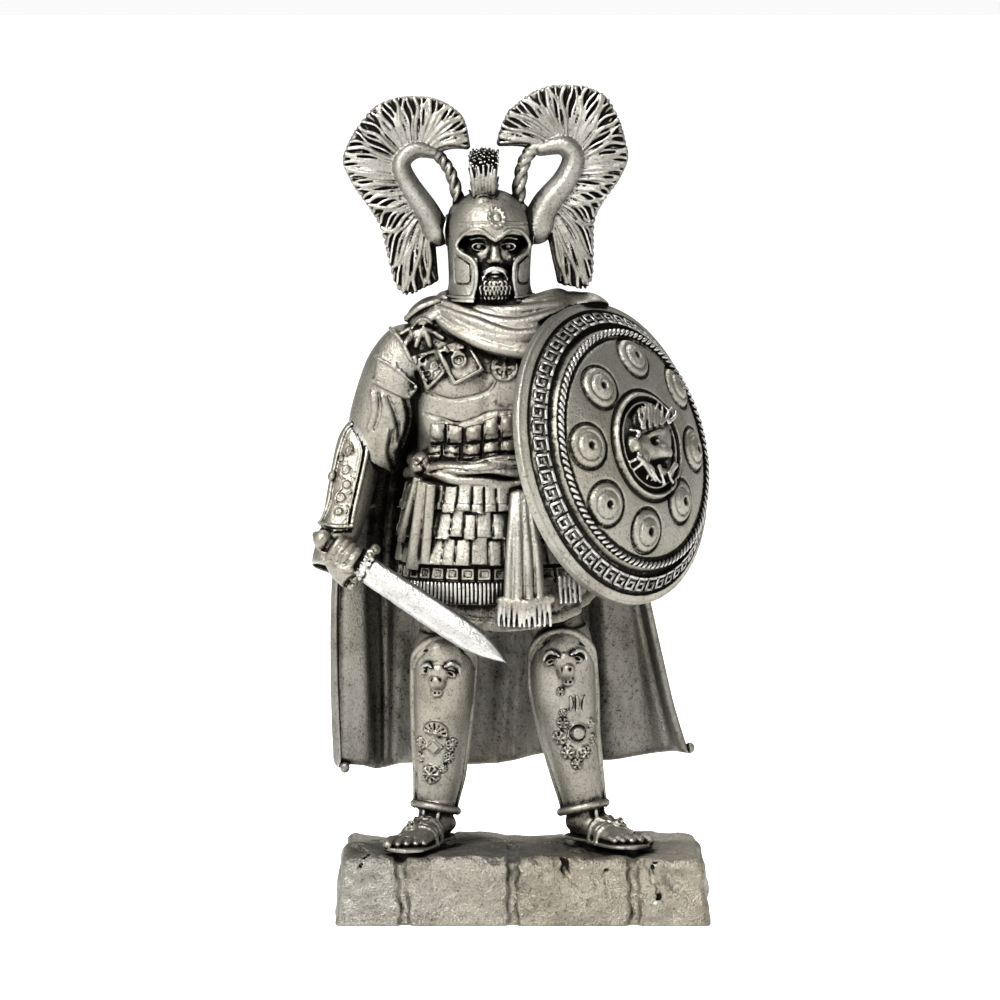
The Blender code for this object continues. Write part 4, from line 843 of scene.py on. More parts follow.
def carve_foot(clay, heel, toe, inner, ankle):
    """A bare foot in a strapped sandal. Inner is the side of the big toe: 1 or -1."""
    heel, toe = np.array((*heel, SOLES)), np.array((*toe, SOLES))
    along = toe - heel
    across = unit(np.cross(along, (0, 0, 1))) * inner

    def spot(share, side, high):
        return heel + along * share + across * side + np.array((0, 0, high))

    def row(share, side, high, wide, tall):
        return (*spot(share, side, high), wide, tall)

    up = (0, 0, 1)
    clay.limb([row(-0.06, 0, 0.9, 0.7, 0.8), row(0.03, 0, 1.15, 1.15, 1.15), row(0.22, 0, 1.5, 1.32, 1.45),
               row(0.45, 0, 1.25, 1.42, 1.2), row(0.7, 0.05, 0.95, 1.68, 0.85),
               row(0.9, 0.05, 0.75, 1.6, 0.55)],
              front=up, blend=0.3)
    clay.limb([(*ankle, 1.55, 1.7), (ankle[0], ankle[1] + 0.2, 8.2, 1.5, 1.75),
               (*spot(0.2, 0, 1.2), 1.3, 1.5)], blend=0.5)
    clay.egg(spot(0.12, 1.15, 1.75), (0.55, 0.55, 0.55), blend=0.5)
    clay.egg(spot(0.08, -1.15, 1.55), (0.55, 0.55, 0.55), blend=0.5)
    for side, reach, thick in ((1.32, 1.12, 0.5), (0.5, 1.08, 0.38), (-0.2, 1.04, 0.36),
                               (-0.86, 0.98, 0.34),
                               (-1.42, 0.92, 0.3)):
        clay.tube([spot(0.78, side * 0.95, 0.8), spot(reach - 0.1, side, 0.92), spot(reach, side, 0.72)],
                  (thick * 0.9, thick, thick * 0.88), blend=0.12)
        clay.egg(spot(reach + 0.01, side, 0.92 + thick * 0.35), (thick * 0.55, thick * 0.55, thick * 0.4),
                 cut=True)
        clay.egg(spot(reach + 0.0, side, 0.82 + thick * 0.35), (thick * 0.5, thick * 0.5, thick * 0.4))
    clay.limb([row(-0.13, 0, 0.22, 0.9, 0.25), row(0.0, 0, 0.22, 1.45, 0.26),
               row(0.35, -0.05, 0.22, 1.4, 0.26),
               row(0.75, 0, 0.22, 1.98, 0.26), row(1.02, 0.15, 0.22, 1.85, 0.26),
               row(1.16, 0.45, 0.22, 1.0, 0.25)],
              front=up, fat=5.0)

    def strap(stations, width=0.5, height=0.16):
        stations = smooth_curve(stations, 7)
        starts = [spot(share, side, 3.6) for share, side in stations]
        places, normals = clay.met_by(starts, np.tile((0, 0, -1.0), (len(starts), 1)))
        clay.trace(places, normals, width, height)

    for base in (0.42, 0.6):
        strap(((base, 1.75), (base + 0.05, 1.0), (base + 0.06, 0), (base + 0.04, -1.0), (base, -1.8)), 0.56)
        strap(((base - 0.05, 1.7), (base + 0.0, 1.0), (base + 0.01, 0), (base - 0.01, -1.0),
               (base - 0.05, -1.7)), 0.3)
    strap(((0.88, 0.95), (0.72, 0.6), (0.55, 0.3), (0.3, 0.1)), 0.42, 0.2)
    strap(((0.3, 1.4), (0.5, 0.8), (0.72, 0.5)), 0.36, 0.18)
    strap(((0.3, -1.4), (0.5, -0.6), (0.72, 0.3)), 0.36, 0.18)
    starts = [spot(0.72, 0.55, 3.6)]
    places, normals = clay.met_by(starts, [(0, 0, -1.0)])
    clay.seal_at(places[0], axes_of(normals[0]), 0.62,
                 lambda r, t: 0.26 * np.exp(-((r - 0.42) / 0.11) ** 2) + 0.3 * np.exp(-(r / 0.16) ** 2))


def carve_leg(rows, thigh, low, high, top, heel, toe, inner, cuff_tilt, step):
    clay = Clay(low, high, step)
    clay.limb([*thigh, (rows[0][0], rows[0][1] + 0.25, 24.4, 2.2, 2.1),
               (rows[1][0], rows[1][1] + 0.4, 21.0, 2.2, 2.1)])
    clay.limb([(*leg_point(rows, level, 0, -2.2)[:1], 0.6, level, 2.1, 2.3) for level in (22.5, 19.0,
                                                                                          14.0)], blend=0.4)
    # Greave, open behind, with a rolled edge
    clay.limb(rows, blend=0.25)
    clay.egg((rows[1][0], rows[1][1] - 1.9, rows[1][2] - 0.1), (1.7, 1.2, 1.9), blend=0.6)
    carve_foot(clay, heel, toe, inner, (rows[-1][0], rows[-1][1], 9.6))
    turns = np.linspace(-1.62, 1.62, 40)
    arch = [leg_point(rows, top - 2.9 * abs(t / 1.62) ** 2.1, t, 0.0) for t in turns]
    levels = np.linspace(top - 3.2, 9.4, 26)
    left = [leg_point(rows, level, -1.66, 0.02) for level in levels][::-1]
    right = [leg_point(rows, level, 1.66, 0.02) for level in levels]
    clay.tube(left + arch + right, 0.36)
    inside = [leg_point(rows, top - 0.78 - 2.7 * abs(t / 1.5) ** 2.1, t, 0.1) for t in np.linspace(-1.35,
                                                                                                   1.35,
                                                                                                   34)]
    clay.tube(inside, 0.17, cut=True)
    for side in (-1.45, 1.45):
        clay.tube([leg_point(rows, level, side, 0.1) for level in levels[1:]], 0.1, cut=True)
    # Flared foot of the greave
    ring = [leg_point(rows, 9.25 + cuff_tilt * math.sin(t) + 0.3 * math.cos(t), t, 0.28)
            for t in np.linspace(-2.4, 2.4, 40)]
    clay.tube(ring, 0.36, blend=0.1)
    lower = [leg_point(rows, 8.85 + cuff_tilt * math.sin(t) + 0.3 * math.cos(t), t, 0.1)
             for t in np.linspace(-math.pi, math.pi, 50)]
    clay.tube(lower, 0.13, cut=True)
    return clay


def carve_right_leg():
    clay = carve_leg(RIGHT_LEG, [(-5.9, 0.0, 33.0, 3.0, 3.2), (-6.4, -0.2, 28.0, 2.75, 2.9)],
                     (-13.2, -8.4, 6.2), (-2.4, 4.6, 31.0), 24.9, (-7.3, 1.7), (-10.3, -5.6), 1, -0.35, 0.1)
    bull_head(clay, (437.5, 673), (437, 692), ((430.8, 679.5), (440.5, 679.3)),
              (((433, 668), (427, 664), (424, 668), (423, 674)),
               ((443, 668), (450, 663), (457, 666), (458, 672))),
              (((426, 671), 0.4), ((451, 674), -0.5)))
    # Palmette, lozenge and rosettes down the shin
    clay.seal((435.5, 733), 1.2, lambda r, t: 0.34 * ease(1.2, 1.1, r) * (t > -0.35) * (t < math.pi + 0.35)
              * np.where(r > 1.02, 1.0, 0.1 + 0.9 * ease(0.1, 0.5, np.abs(np.sin(6.0 * t)))))
    clay.seal((435.5, 733), 0.4, lambda r, t: 0.2 * ease(0.4, 0.3, r))
    places, normals = clay.seen([(434, 747)])
    axes = axes_of(normals[0])
    turned = np.array(((axes[0] + axes[1]) / 2**0.5, (axes[1] - axes[0]) / 2**0.5, axes[2]))
    clay.slab(places[0], (0.62, 0.62, 0.12), turned, 0.05)
    clay.slab(places[0] + normals[0] * 0.06, (0.42, 0.42, 0.25), turned, 0.05)
    for middle, radius in (((422, 743), 0.62), ((451.5, 744), 0.68), ((421, 757), 0.5), ((448.5, 757), 0.6),
                           ((431, 774), 0.92), ((443, 768), 0.45)):
        rosette(clay, middle, radius)
    return clay


def carve_left_leg():
    clay = carve_leg(LEFT_LEG, [(-0.4, 0.0, 33.0, 3.0, 3.2), (1.5, -0.2, 28.2, 2.8, 2.9)],
                     (-2.6, -6.9, 6.2), (13.2, 4.6, 31.0), 25.5, (5.0, 1.8), (9.6, -3.9), -1, 0.45, 0.1)
    bull_head(clay, (565, 662), (568, 681), ((561, 669.5), (570.5, 669.3)),
              (((560, 657), (553, 652), (548, 654), (546, 660)),
               ((570, 656), (577, 650), (582, 653), (583, 659))),
              (((550, 662), 0.5), ((578, 659), -0.5)))
    for line in (((570, 710), (571, 703), (570, 696)), ((576, 711), (577, 703), (576, 695)),
                 ((582, 709), (583, 702), (584, 695))):
        clay.stroke(line, 0.36, 0.26, taper=True)
    clay.seal((577.5, 732.5), 0.95, lambda r, t: 0.28 * ease(0.62, 0.5, r) + 0.16 * ease(0.95, 0.88, r)
              - 0.2 * np.exp(-((r - 0.7) / 0.07) ** 2))
    for middle, radius in (((563, 722), 0.6), ((590, 723), 0.5), ((560, 737), 0.75), ((592, 738), 0.5),
                           ((568, 752), 0.7), ((585, 752), 0.65), ((577, 763), 0.6), ((563, 712), 0.4),
                           ((560.5, 691), 0.42)):
        rosette(clay, middle, radius, 6)
    return clay


# Arms, sword and shield's arm


def carve_sword_arm():
    clay = Clay((-19.6, -8.2, 27.0), (-10.4, 4.4, 44.6), 0.1)
    clay.limb([(-13.9, 1.3, 43.6, 1.3, 1.5), (-14.4, 1.0, 41.7, 2.0, 2.2), (-15.1, -0.4, 38.2, 2.05, 2.15),
               (-15.8, -1.9, 35.2, 1.85, 1.85), (-16.6, -3.1, 32.6, 1.7, 1.75),
               (-16.9, -3.5, 31.2, 1.6, 1.65)])
    # Cuff that flares over the back of the hand
    clay.limb([(-16.3, -2.8, 33.2, 1.68, 1.7), (-16.75, -3.3, 31.8, 1.76, 1.85),
               (-16.95, -3.5, 30.9, 1.66, 1.8)], blend=0.2)
    clay.limb([(-17.0, -3.5, 31.6, 1.3, 1.4), (-17.5, -3.9, 29.4, 1.5, 1.5)], cut=True)
    # Raised edge and scrolls of the arm guard
    rim = ((354, 423), (362, 432), (366, 444), (366, 454), (362, 474), (357, 496), (353, 514), (351, 527))
    clay.stroke(rim, 0.42, 0.34, blend=0.04)
    clay.stroke([(x - 5, y + 3) for x, y in rim[1:]], 0.2, 0.2)
    clay.stroke([(x - 2.6, y + 2) for x, y in rim[1:]], 0.16, 0.18, cut=True)
    clay.stroke(((353, 424), (346, 432), (341, 446), (337, 462), (333, 482), (329, 504), (322, 522)), 0.36,
                0.28,
                blend=0.04)
    for middle, radius in (((346, 470), 0.5), ((350, 451), 0.42), ((347, 485), 0.42), ((341, 498), 0.5),
                           ((339, 512), 0.4), ((342, 459), 0.3)):
        clay.seal(middle, radius, lambda r, t,
                  radius=radius: 0.24 * np.exp(-((r - radius * 0.62) / 0.1) ** 2)
                  + 0.22 * np.exp(-(r / 0.13) ** 2))
    for line in (((347, 440), (352, 446), (348, 455), (342, 452)),
                 ((349, 460), (343, 466), (341, 476), (347, 480)),
                 ((344, 488), (337, 494), (336, 503), (342, 506)),
                 ((350, 476), (354, 482), (351, 492), (346, 494)),
                 ((346, 505), (349, 512), (345, 519))):
        clay.stroke(line, 0.2, 0.17, taper=True)
    clay.stroke(((320, 522), (334, 527), (352, 526)), 0.4, 0.3, blend=0.03)
    clay.stroke(((317, 526), (333, 532), (351, 531)), 0.18, 0.16, cut=True)
    clay.stroke(((317, 546), (325, 553), (336, 551), (345, 543)), 0.26, 0.2, blend=0.03)
    clay.boss((332, 476), (0.4, 0.5), 0.35, blend=0.08)
    # Strapwork behind the forearm
    for level in (40.2, 38.0, 35.8):
        clay.tube([(-13.2, 1.3, level + 0.4), (-14.6 - (40 - level) * 0.12, 2.45 - (41.5 - level) * 0.42,
                                               level),
                   (-16.4 - (40 - level) * 0.12, 1.4 - (41.5 - level) * 0.42, level - 0.2)], 0.26)
    # Fist on the grip
    clay.limb([(-16.6, -3.6, 32.4, 1.15, 1.35), (-15.7, -4.5, 31.2, 1.3, 1.5),
               (-14.9, -5.0, 30.2, 1.1, 1.2)], blend=0.3)
    start, along = np.array((-14.0, -5.2, 31.4)), unit((12.4, -2.4, -8.05))
    side = unit(np.cross(along, (0, -1, 0)))
    out = np.cross(side, along)
    for k, long in enumerate((1.0, 1.08, 1.0, 0.88)):
        root = start - along * (1.0 + 0.62 * k)
        points = [root + side * -1.0 + out * -0.5, root + side * -0.9 + out * 0.45,
                  root + side * -0.05 + out * 0.98 * long,
                  root + side * 0.75 + out * 0.6, root + side * 0.85 + out * -0.1]
        clay.tube(smooth_curve(points, 3), 0.36, blend=0.04)
    thumb = [start - along * 2.4 + side * 1.2 + out * 0.1, start - along * 1.5 + side * 1.15 + out * 0.75,
             start - along * 0.7 + side * 0.75 + out * 0.95]
    clay.tube(smooth_curve(thumb, 3), (0.42, 0.42, 0.42, 0.42, 0.42, 0.4, 0.36), blend=0.06)
    clay.tube([start - along * 4.1, start + along * 0.2], 0.55)
    clay.egg(start - along * 4.3, (0.85, 0.85, 0.85))
    clay.egg(start - along * 5.0, (0.35, 0.35, 0.35))
    # Knobbed guard
    for k in range(-3, 4):
        spot = start + along * (0.15 * k * k / 4 - 0.25) + side * 0.62 * k
        clay.egg(spot, (0.48, 0.55, 0.48), blend=0.1)
        clay.egg(spot + out * 0.5 + along * 0.1, (0.22, 0.22, 0.22))
    clay.slab(start - along * 0.1, (1.6, 0.5, 0.3), (side, out, along), 0.15, blend=0.1)
    for k in range(-2, 3):
        clay.egg(start + along * 0.35 + side * 0.5 * k + out * 0.3, (0.24, 0.24, 0.24))
    return clay


def make_blade():
    """A short two-edged blade with a bevel on each side of its ridge."""
    start, along = np.array((-14.0, -5.2, 31.4)), unit((12.4, -2.4, -8.05))
    side = unit(np.cross(along, (0, -1, 0)))
    out = np.cross(side, along)
    points, sides = [], 14
    shape = ((-0.6, 1.0), (0.0, 1.0), (3.0, 1.0), (6.0, 1.03), (9.0, 1.05), (11.4, 0.98), (12.6, 0.8),
             (13.6, 0.55),
             (14.5, 0.26), (15.15, 0.03))
    shape = smooth_curve(shape, 6)
    for distance, wide in shape:
        half = 1.2 * max(wide, 0.03)
        thick = 0.5 * min(1.0, 0.35 + 0.65 * wide)
        nick = 0.03 * math.sin(distance * 5.1) * math.sin(distance * 2.3)
        for across, high in ((-1, 0.05), (-0.8, 0.42), (-0.74, 0.5), (-0.3, 0.78), (0.0, 1.0), (0.3, 0.78),
                             (0.74, 0.5),
                             (0.8, 0.42), (1, 0.05), (0.8, -0.42), (0.3, -0.78), (0.0, -1.0), (-0.3, -0.78),
                             (-0.8, -0.42)):
            edge = nick if abs(across) == 1 else 0
            aside = side * (half * across + edge * across)
            points.append(start + along * distance + aside + out * thick * high)
    faces = []
    count = len(shape)
    for k in range(count - 1):
        for j in range(sides):
            a, b = k * sides + j, k * sides + (j + 1) % sides
            faces.append((a, b, b + sides, a + sides))
    blade = mesh_object("sword_blade", np.array(points), faces)
    bm = bmesh.new()
    bm.from_mesh(blade.data)
    bm.verts.ensure_lookup_table()
    bm.faces.new([bm.verts[j] for j in range(sides)])
    bm.faces.new([bm.verts[(count - 1) * sides + j] for j in range(sides)])
    bmesh.ops.recalc_face_normals(bm, faces=bm.faces)
    bm.to_mesh(blade.data)
    bm.free()
    return blade


def carve_shield_arm():
    clay = Clay((1.0, -8.4, 36.4), (12.6, 5.6, 54.6), 0.15)
    clay.limb([(3.4, 0.5, 52.0, 2.5, 2.8), (4.8, 0.8, 48.6, 2.75, 2.85), (5.8, 1.3, 45.0, 2.4, 2.5),
               (6.6, 1.6, 42.0, 2.0, 2.1)])
    clay.limb([(7.2, 2.2, 41.2, 1.9, 2.0), (6.8, -0.6, 41.1, 1.85, 1.9), (6.1, -3.2, 41.2, 1.55, 1.6),
               (5.6, -5.4, 41.3, 1.3, 1.4), (5.4, -6.6, 41.3, 1.0, 1.05)], front=(0, 0, 1), blend=0.4)
    for k in range(4):
        clay.tube([(6.6, -6.2, 42.2 - 0.6 * k), (5.4, -7.0, 42.2 - 0.6 * k), (4.5, -6.2, 42.1 - 0.6 * k)],
                  0.36, blend=0.05)
    for share in (0.25, 0.45, 0.65):
        clay.tube([(4.4 + share, -4.6 + 6 * share, 42.9), (5.2 + share, -4.9 + 6 * share, 43.0),
                   (7.6 + share, -4.2 + 6 * share, 42.3), (7.9 + share, -4.0 + 6 * share, 40.2)], 0.22,
                  blend=0.04)
    clay.limb([(6.3, -1.8, 41.3, 1.9, 1.9), (10.0, -4.6, 42.4, 1.9, 1.9)], front=(0, 0, 1))
    return clay


# Cloak


# Its outline at five levels: x and y from one side edge to the other
CLOAK_LEVELS = (
    (52.8, ((-8.6, 0.4), (-7.6, 2.2), (-5.8, 3.2), (-3.1, 3.8), (-0.4, 3.2), (1.8, 2.2), (3.2, 0.5))),
    (49.8, ((-11.4, 1.8), (-9.8, 3.7), (-6.6, 4.6), (-3.1, 5.0), (0.6, 4.8), (4.0, 3.9), (6.2, 2.0))),
    (40.0, ((-14.9, 3.2), (-12.4, 4.6), (-8.4, 5.4), (-3.2, 5.9), (2.2, 5.7), (6.2, 5.0), (8.8, 3.6))),
    (28.2, ((-16.6, 2.6), (-13.6, 5.0), (-9.0, 6.0), (-3.1, 6.9), (3.0, 6.8), (7.8, 6.0), (11.4, 4.2))),
    (12.2, ((-16.0, 3.0), (-13.6, 6.0), (-9.8, 6.5), (-4.0, 7.9), (2.6, 7.8), (8.8, 6.8), (15.1, 4.4))),
)


def fold_depth(share, fall, level):
    """How far the cloth swings out of its smooth line, in broad folds with narrower ones between."""
    drift = 0.012 * np.sin(level * 0.17 + share * 9)
    s = share + drift * fall
    broad = np.sin(math.tau * 4.5 * share + 1.0) + 0.35 * np.sin(math.tau * 8 * share + 0.5)
    crease = np.exp(-((np.mod(s * 5.5 + 0.35, 1) - 0.5) / 0.075) ** 2)
    soft = np.sin(math.tau * 17 * s + 1.5 * np.sin(level * 0.12))
    return (broad * 0.6 - 0.12) * fall + (0.3 * crease - 0.05 + 0.03 * soft) * np.minimum(1, fall * 1.6)


def make_cloak():
    columns, rows = (200, 190) if GRAIN == 1 else (120, 100)
    wide = []
    for level, outline in CLOAK_LEVELS:
        wide.append([value for point in smooth_curve(outline, 20) for value in point] + [level])
    wide = smooth_curve(wide, rows // 4)
    shares = np.linspace(0, 1, columns)
    bends = np.linspace(0, 1, (wide.shape[1] - 1) // 2)
    half = 0.55
    near, far = [], []
    for row in wide:
        level = row[-1]
        x, y = np.interp(shares, bends, row[0:-1:2]), np.interp(shares, bends, row[1:-1:2])
        fall = min(1.0, max(0.0, (52.8 - level) / 32))
        way = np.stack([np.gradient(x), np.gradient(y)])
        out = np.stack([-way[1], way[0]]) / np.linalg.norm(way, axis=0)
        swing = fold_depth(shares, fall, level)
        thickness = half * np.sqrt(np.clip(1 - (2 * shares - 1) ** 24, 0.02, 1))
        hem = half * math.sqrt(max(0.05, 1 - max(0.0, (13.0 - level) / 0.8) ** 2)) / half
        lift = 2.1 * np.maximum(0.0, shares - 0.45) * fall * np.clip((18.2 - level) / 6, 0, 1)
        sag = 0.35 * np.sin(math.tau * 3.3 * shares + 0.5) * np.clip((16 - level) / 4, 0, 1) + lift
        for side, rows_made in ((-1, near), (1, far)):
            depth = swing + side * thickness * hem
            if side < 0:
                depth = depth - 0.1 * np.sin(math.tau * 9 * shares + 1) * fall
            rows_made.append(np.stack([x + out[0] * depth, y + out[1] * depth, level + sag], axis=1))
    near, far = np.array(near), np.array(far)
    loops = np.concatenate([near, far[:, ::-1]], axis=1)
    count, around = loops.shape[:2]
    points = loops.reshape(-1, 3)
    grid = np.arange(count * around).reshape(count, around)
    turned = np.roll(grid, -1, axis=1)
    faces = np.stack([grid[:-1], grid[1:], turned[1:], turned[:-1]], axis=-1).reshape(-1, 4)
    caps = []
    for row, flip in ((grid[0], False), (grid[-1], True)):
        front, back = row[:columns], row[columns:][::-1]
        cap = np.stack([front[:-1], front[1:], back[1:], back[:-1]], axis=-1)
        caps.append(cap[:, ::-1] if flip else cap)
    faces = np.concatenate([faces, *caps])
    cloak = mesh_object("cloak", points, faces)
    bm = bmesh.new()
    bm.from_mesh(cloak.data)
    bmesh.ops.recalc_face_normals(bm, faces=bm.faces)
    for corner in ((-15.9, 3.2, 12.4), (15.0, 4.4, 14.0)):
        matrix = Matrix.Translation(Vector(corner) / 1000) @ Matrix.Diagonal((0.00045, 0.00045, 0.0005, 1))
        made = bmesh.ops.create_icosphere(bm, subdivisions=3, radius=1, matrix=matrix)
        for face in {face for vert in made["verts"] for face in vert.link_faces}:
            face.smooth = True
    bm.to_mesh(cloak.data)
    bm.free()
    return cloak


# Plumes


# Across, from the middle of the head outwards, and height in millimetres over the plinth, then half width
PLUME_ON_RIGHT = {
    "horn": ((4.6, 60.4, 1.1), (5.6, 62.3, 1.0), (7.2, 64.7, 0.85), (7.85, 66.2, 0.8), (7.4, 67.2, 0.75),
             (6.3, 67.8, 0.72), (4.9, 67.5, 0.5)),
    "strut": ((2.3, 60.8, 0.85), (2.5, 62.3, 0.68), (3.4, 65.6, 0.62), (4.7, 67.4, 0.7)),
    "roots": ((4.6, 67.8), (5.4, 68.3), (6.2, 68.5), (7.7, 68.0), (8.6, 66.5), (8.2, 64.7), (6.9, 62.7),
              (6.0, 61.2), (5.3, 60.4)),
    "bends": ((3.3, 68.4), (4.1, 69.9), (5.9, 70.6), (8.9, 70.0), (10.7, 67.2), (10.3, 64.7), (8.6, 62.0),
              (7.1, 58.8), (5.1, 58.2)),
    "tips": ((1.75, 67.9), (2.5, 70.7), (5.6, 72.3), (9.9, 71.5), (12.75, 67.4), (12.1, 64.9), (9.6, 61.0),
             (7.9, 55.1), (4.7, 56.0)),
}
PLUME_ON_LEFT = {
    "horn": ((4.1, 60.8, 1.3), (5.0, 62.8, 1.15), (6.6, 64.8, 1.0), (7.4, 66.4, 0.95), (7.35, 67.4, 0.9),
             (6.4, 68.2, 0.85), (4.5, 67.8, 0.55)),
    "strut": ((2.2, 61.0, 0.9), (2.4, 62.6, 0.76), (2.95, 66.3, 0.68), (4.1, 68.1, 0.8)),
    "roots": ((4.5, 68.0), (5.6, 68.8), (6.5, 69.0), (7.9, 68.3), (8.4, 66.8), (8.0, 65.2), (6.7, 63.2),
              (5.9, 61.7), (5.5, 60.6)),
    "bends": ((2.8, 68.6), (4.0, 70.2), (6.0, 71.2), (8.8, 70.4), (10.2, 67.6), (9.8, 65.1), (8.4, 62.6),
              (7.5, 59.6), (5.9, 58.4)),
    "tips": ((0.6, 68.2), (1.7, 71.1), (5.4, 73.3), (10.1, 72.5), (12.1, 67.8), (11.5, 65.4), (9.2, 61.6),
             (8.9, 55.8), (6.3, 55.8)),
}
HAIR_LOCKS = 74


def carve_plume(side, shape, low, high):
    """Hair in locks from a smooth horn, with a braided strut. Side is -1 on the soldier's right."""
    clay = Clay(low, high, 0.085)
    roots, bends, tips = (smooth_curve(shape[part], 24) for part in ("roots", "bends", "tips"))
    last = len(roots) - 1

    def lock(share, reach):
        k = min(share, 1.0) * last
        a, b, c = (np.array([np.interp(k, np.arange(last + 1), part[:, n]) for n in (0, 1)])
                   for part in (roots, bends, tips))
        return (1 - reach) ** 2 * a + 2 * reach * (1 - reach) * b + reach**2 * c

    def line(share, depth, wave, phase, long=1.0, steps=9):
        points = []
        for reach in np.linspace(-0.04, long, steps):
            sway = wave * math.sin(phase + 7.5 * reach) * max(reach, 0)
            u, z = lock(share + sway, reach)
            points.append((HEAD[0] + side * u,
                           HEAD[1] + depth * (0.85 + 0.3 * math.sin(math.pi * max(reach, 0))), z))
        return points

    for k in range(HAIR_LOCKS + 1):
        share = k / HAIR_LOCKS
        clay.tube(line(share, 0.0, 0.004, k, 0.92), np.linspace(0.52, 0.34, 9))
    for face in (-1, 1):
        for k in range(HAIR_LOCKS):
            share = (k + 0.5 + 0.18 * math.sin(k * 2.1)) / HAIR_LOCKS
            tail = 1.0 if share > 0.7 else 0.35
            thick = 0.14 + 0.035 * math.sin(k * 1.7 + face)
            long = 0.95 + 0.02 * math.sin(k * 4.3 + face)
            points = line(share, face * (0.55 + 0.06 * math.sin(k * 2.9)), 0.007 * (1 + tail),
                          k * 1.3 + face, long, 11)
            radii = thick * (0.75 + 0.5 * np.sin(np.linspace(0.25, 2.6, 11)))
            clay.tube(points, radii)
    for k in range(HAIR_LOCKS):
        share = (k + 0.3) / HAIR_LOCKS
        points = line(share, 0.3 * math.sin(k * 2.4), 0.01, k * 0.9, 0.965 + 0.02 * math.sin(k * 5), 11)
        clay.tube(points[7:], np.linspace(0.3, 0.13, 4))

    horn = smooth_curve([(HEAD[0] + side * u, HEAD[1], z, wide) for u, z, wide in shape["horn"]], 6)
    clay.tube(horn[:, :3], horn[:, 3] + 0.16)
    for face in (-1, 1):
        clay.tube(horn[:, :3] + np.array((0, face * 0.42, 0)), horn[:, 3] * 0.86, blend=0.05)
    ring = shape["horn"][0]
    clay.tube([(HEAD[0] + side * (ring[0] + 0.1), HEAD[1], ring[1] + 0.15),
               (HEAD[0] + side * (ring[0] + 0.25), HEAD[1], ring[1] + 0.4)], ring[2] + 0.18, blend=0.05)
    strut = smooth_curve([(HEAD[0] + side * u, HEAD[1], z, wide) for u, z, wide in shape["strut"]], 10)
    clay.tube(strut[:, :3], strut[:, 3] * 0.62)
    for strand in range(3):
        twist = np.arange(len(strut)) * 0.62 + strand * math.tau / 3
        offset = strut[:, 3:] * 0.5
        points = strut[:, :3] + np.stack([np.cos(twist), np.sin(twist), 0 * twist], axis=1) * offset
        clay.tube(points, strut[:, 3] * 0.46)
    return clay


def carve_plume_right():
    return carve_plume(-1, PLUME_ON_RIGHT, (-17.3, -1.9, 54.0), (-3.2, 1.7, 73.6))


def carve_plume_left():
    return carve_plume(1, PLUME_ON_LEFT, (-3.6, -1.9, 54.4), (10.6, 1.7, 74.4))


# Shield


SHIELD_MIDDLE = np.array((8.2, -3.0, 41.2))
SHIELD_OUT = unit((0.772, -0.590, 0.236))
SHIELD_ACROSS = unit(np.cross((0, 0, 1), SHIELD_OUT))
SHIELD_AXES = np.array((SHIELD_ACROSS, np.cross(SHIELD_OUT, SHIELD_ACROSS), SHIELD_OUT))
SHIELD_RADIUS = 13.2
ROPE_RADIUS = 10.35
BAND_SLOPE = 0.8
SHIELD_STUDS = ((634, 357), (677, 387), (694, 449), (681, 501), (647, 531), (607, 504), (589, 446),
                (601, 387))
SHIELD_WALL = 1.1


def dome(r):
    """Height of the shield's front over the plane of its rim."""
    return 3.6 * (1 - np.minimum(r / SHIELD_RADIUS, 1) ** 3.1) - 0.33 * np.maximum(r - 10.56, 0) / 2.64


def ridge(r, middle, width):
    return np.exp(-((r - middle) / width) ** 2)


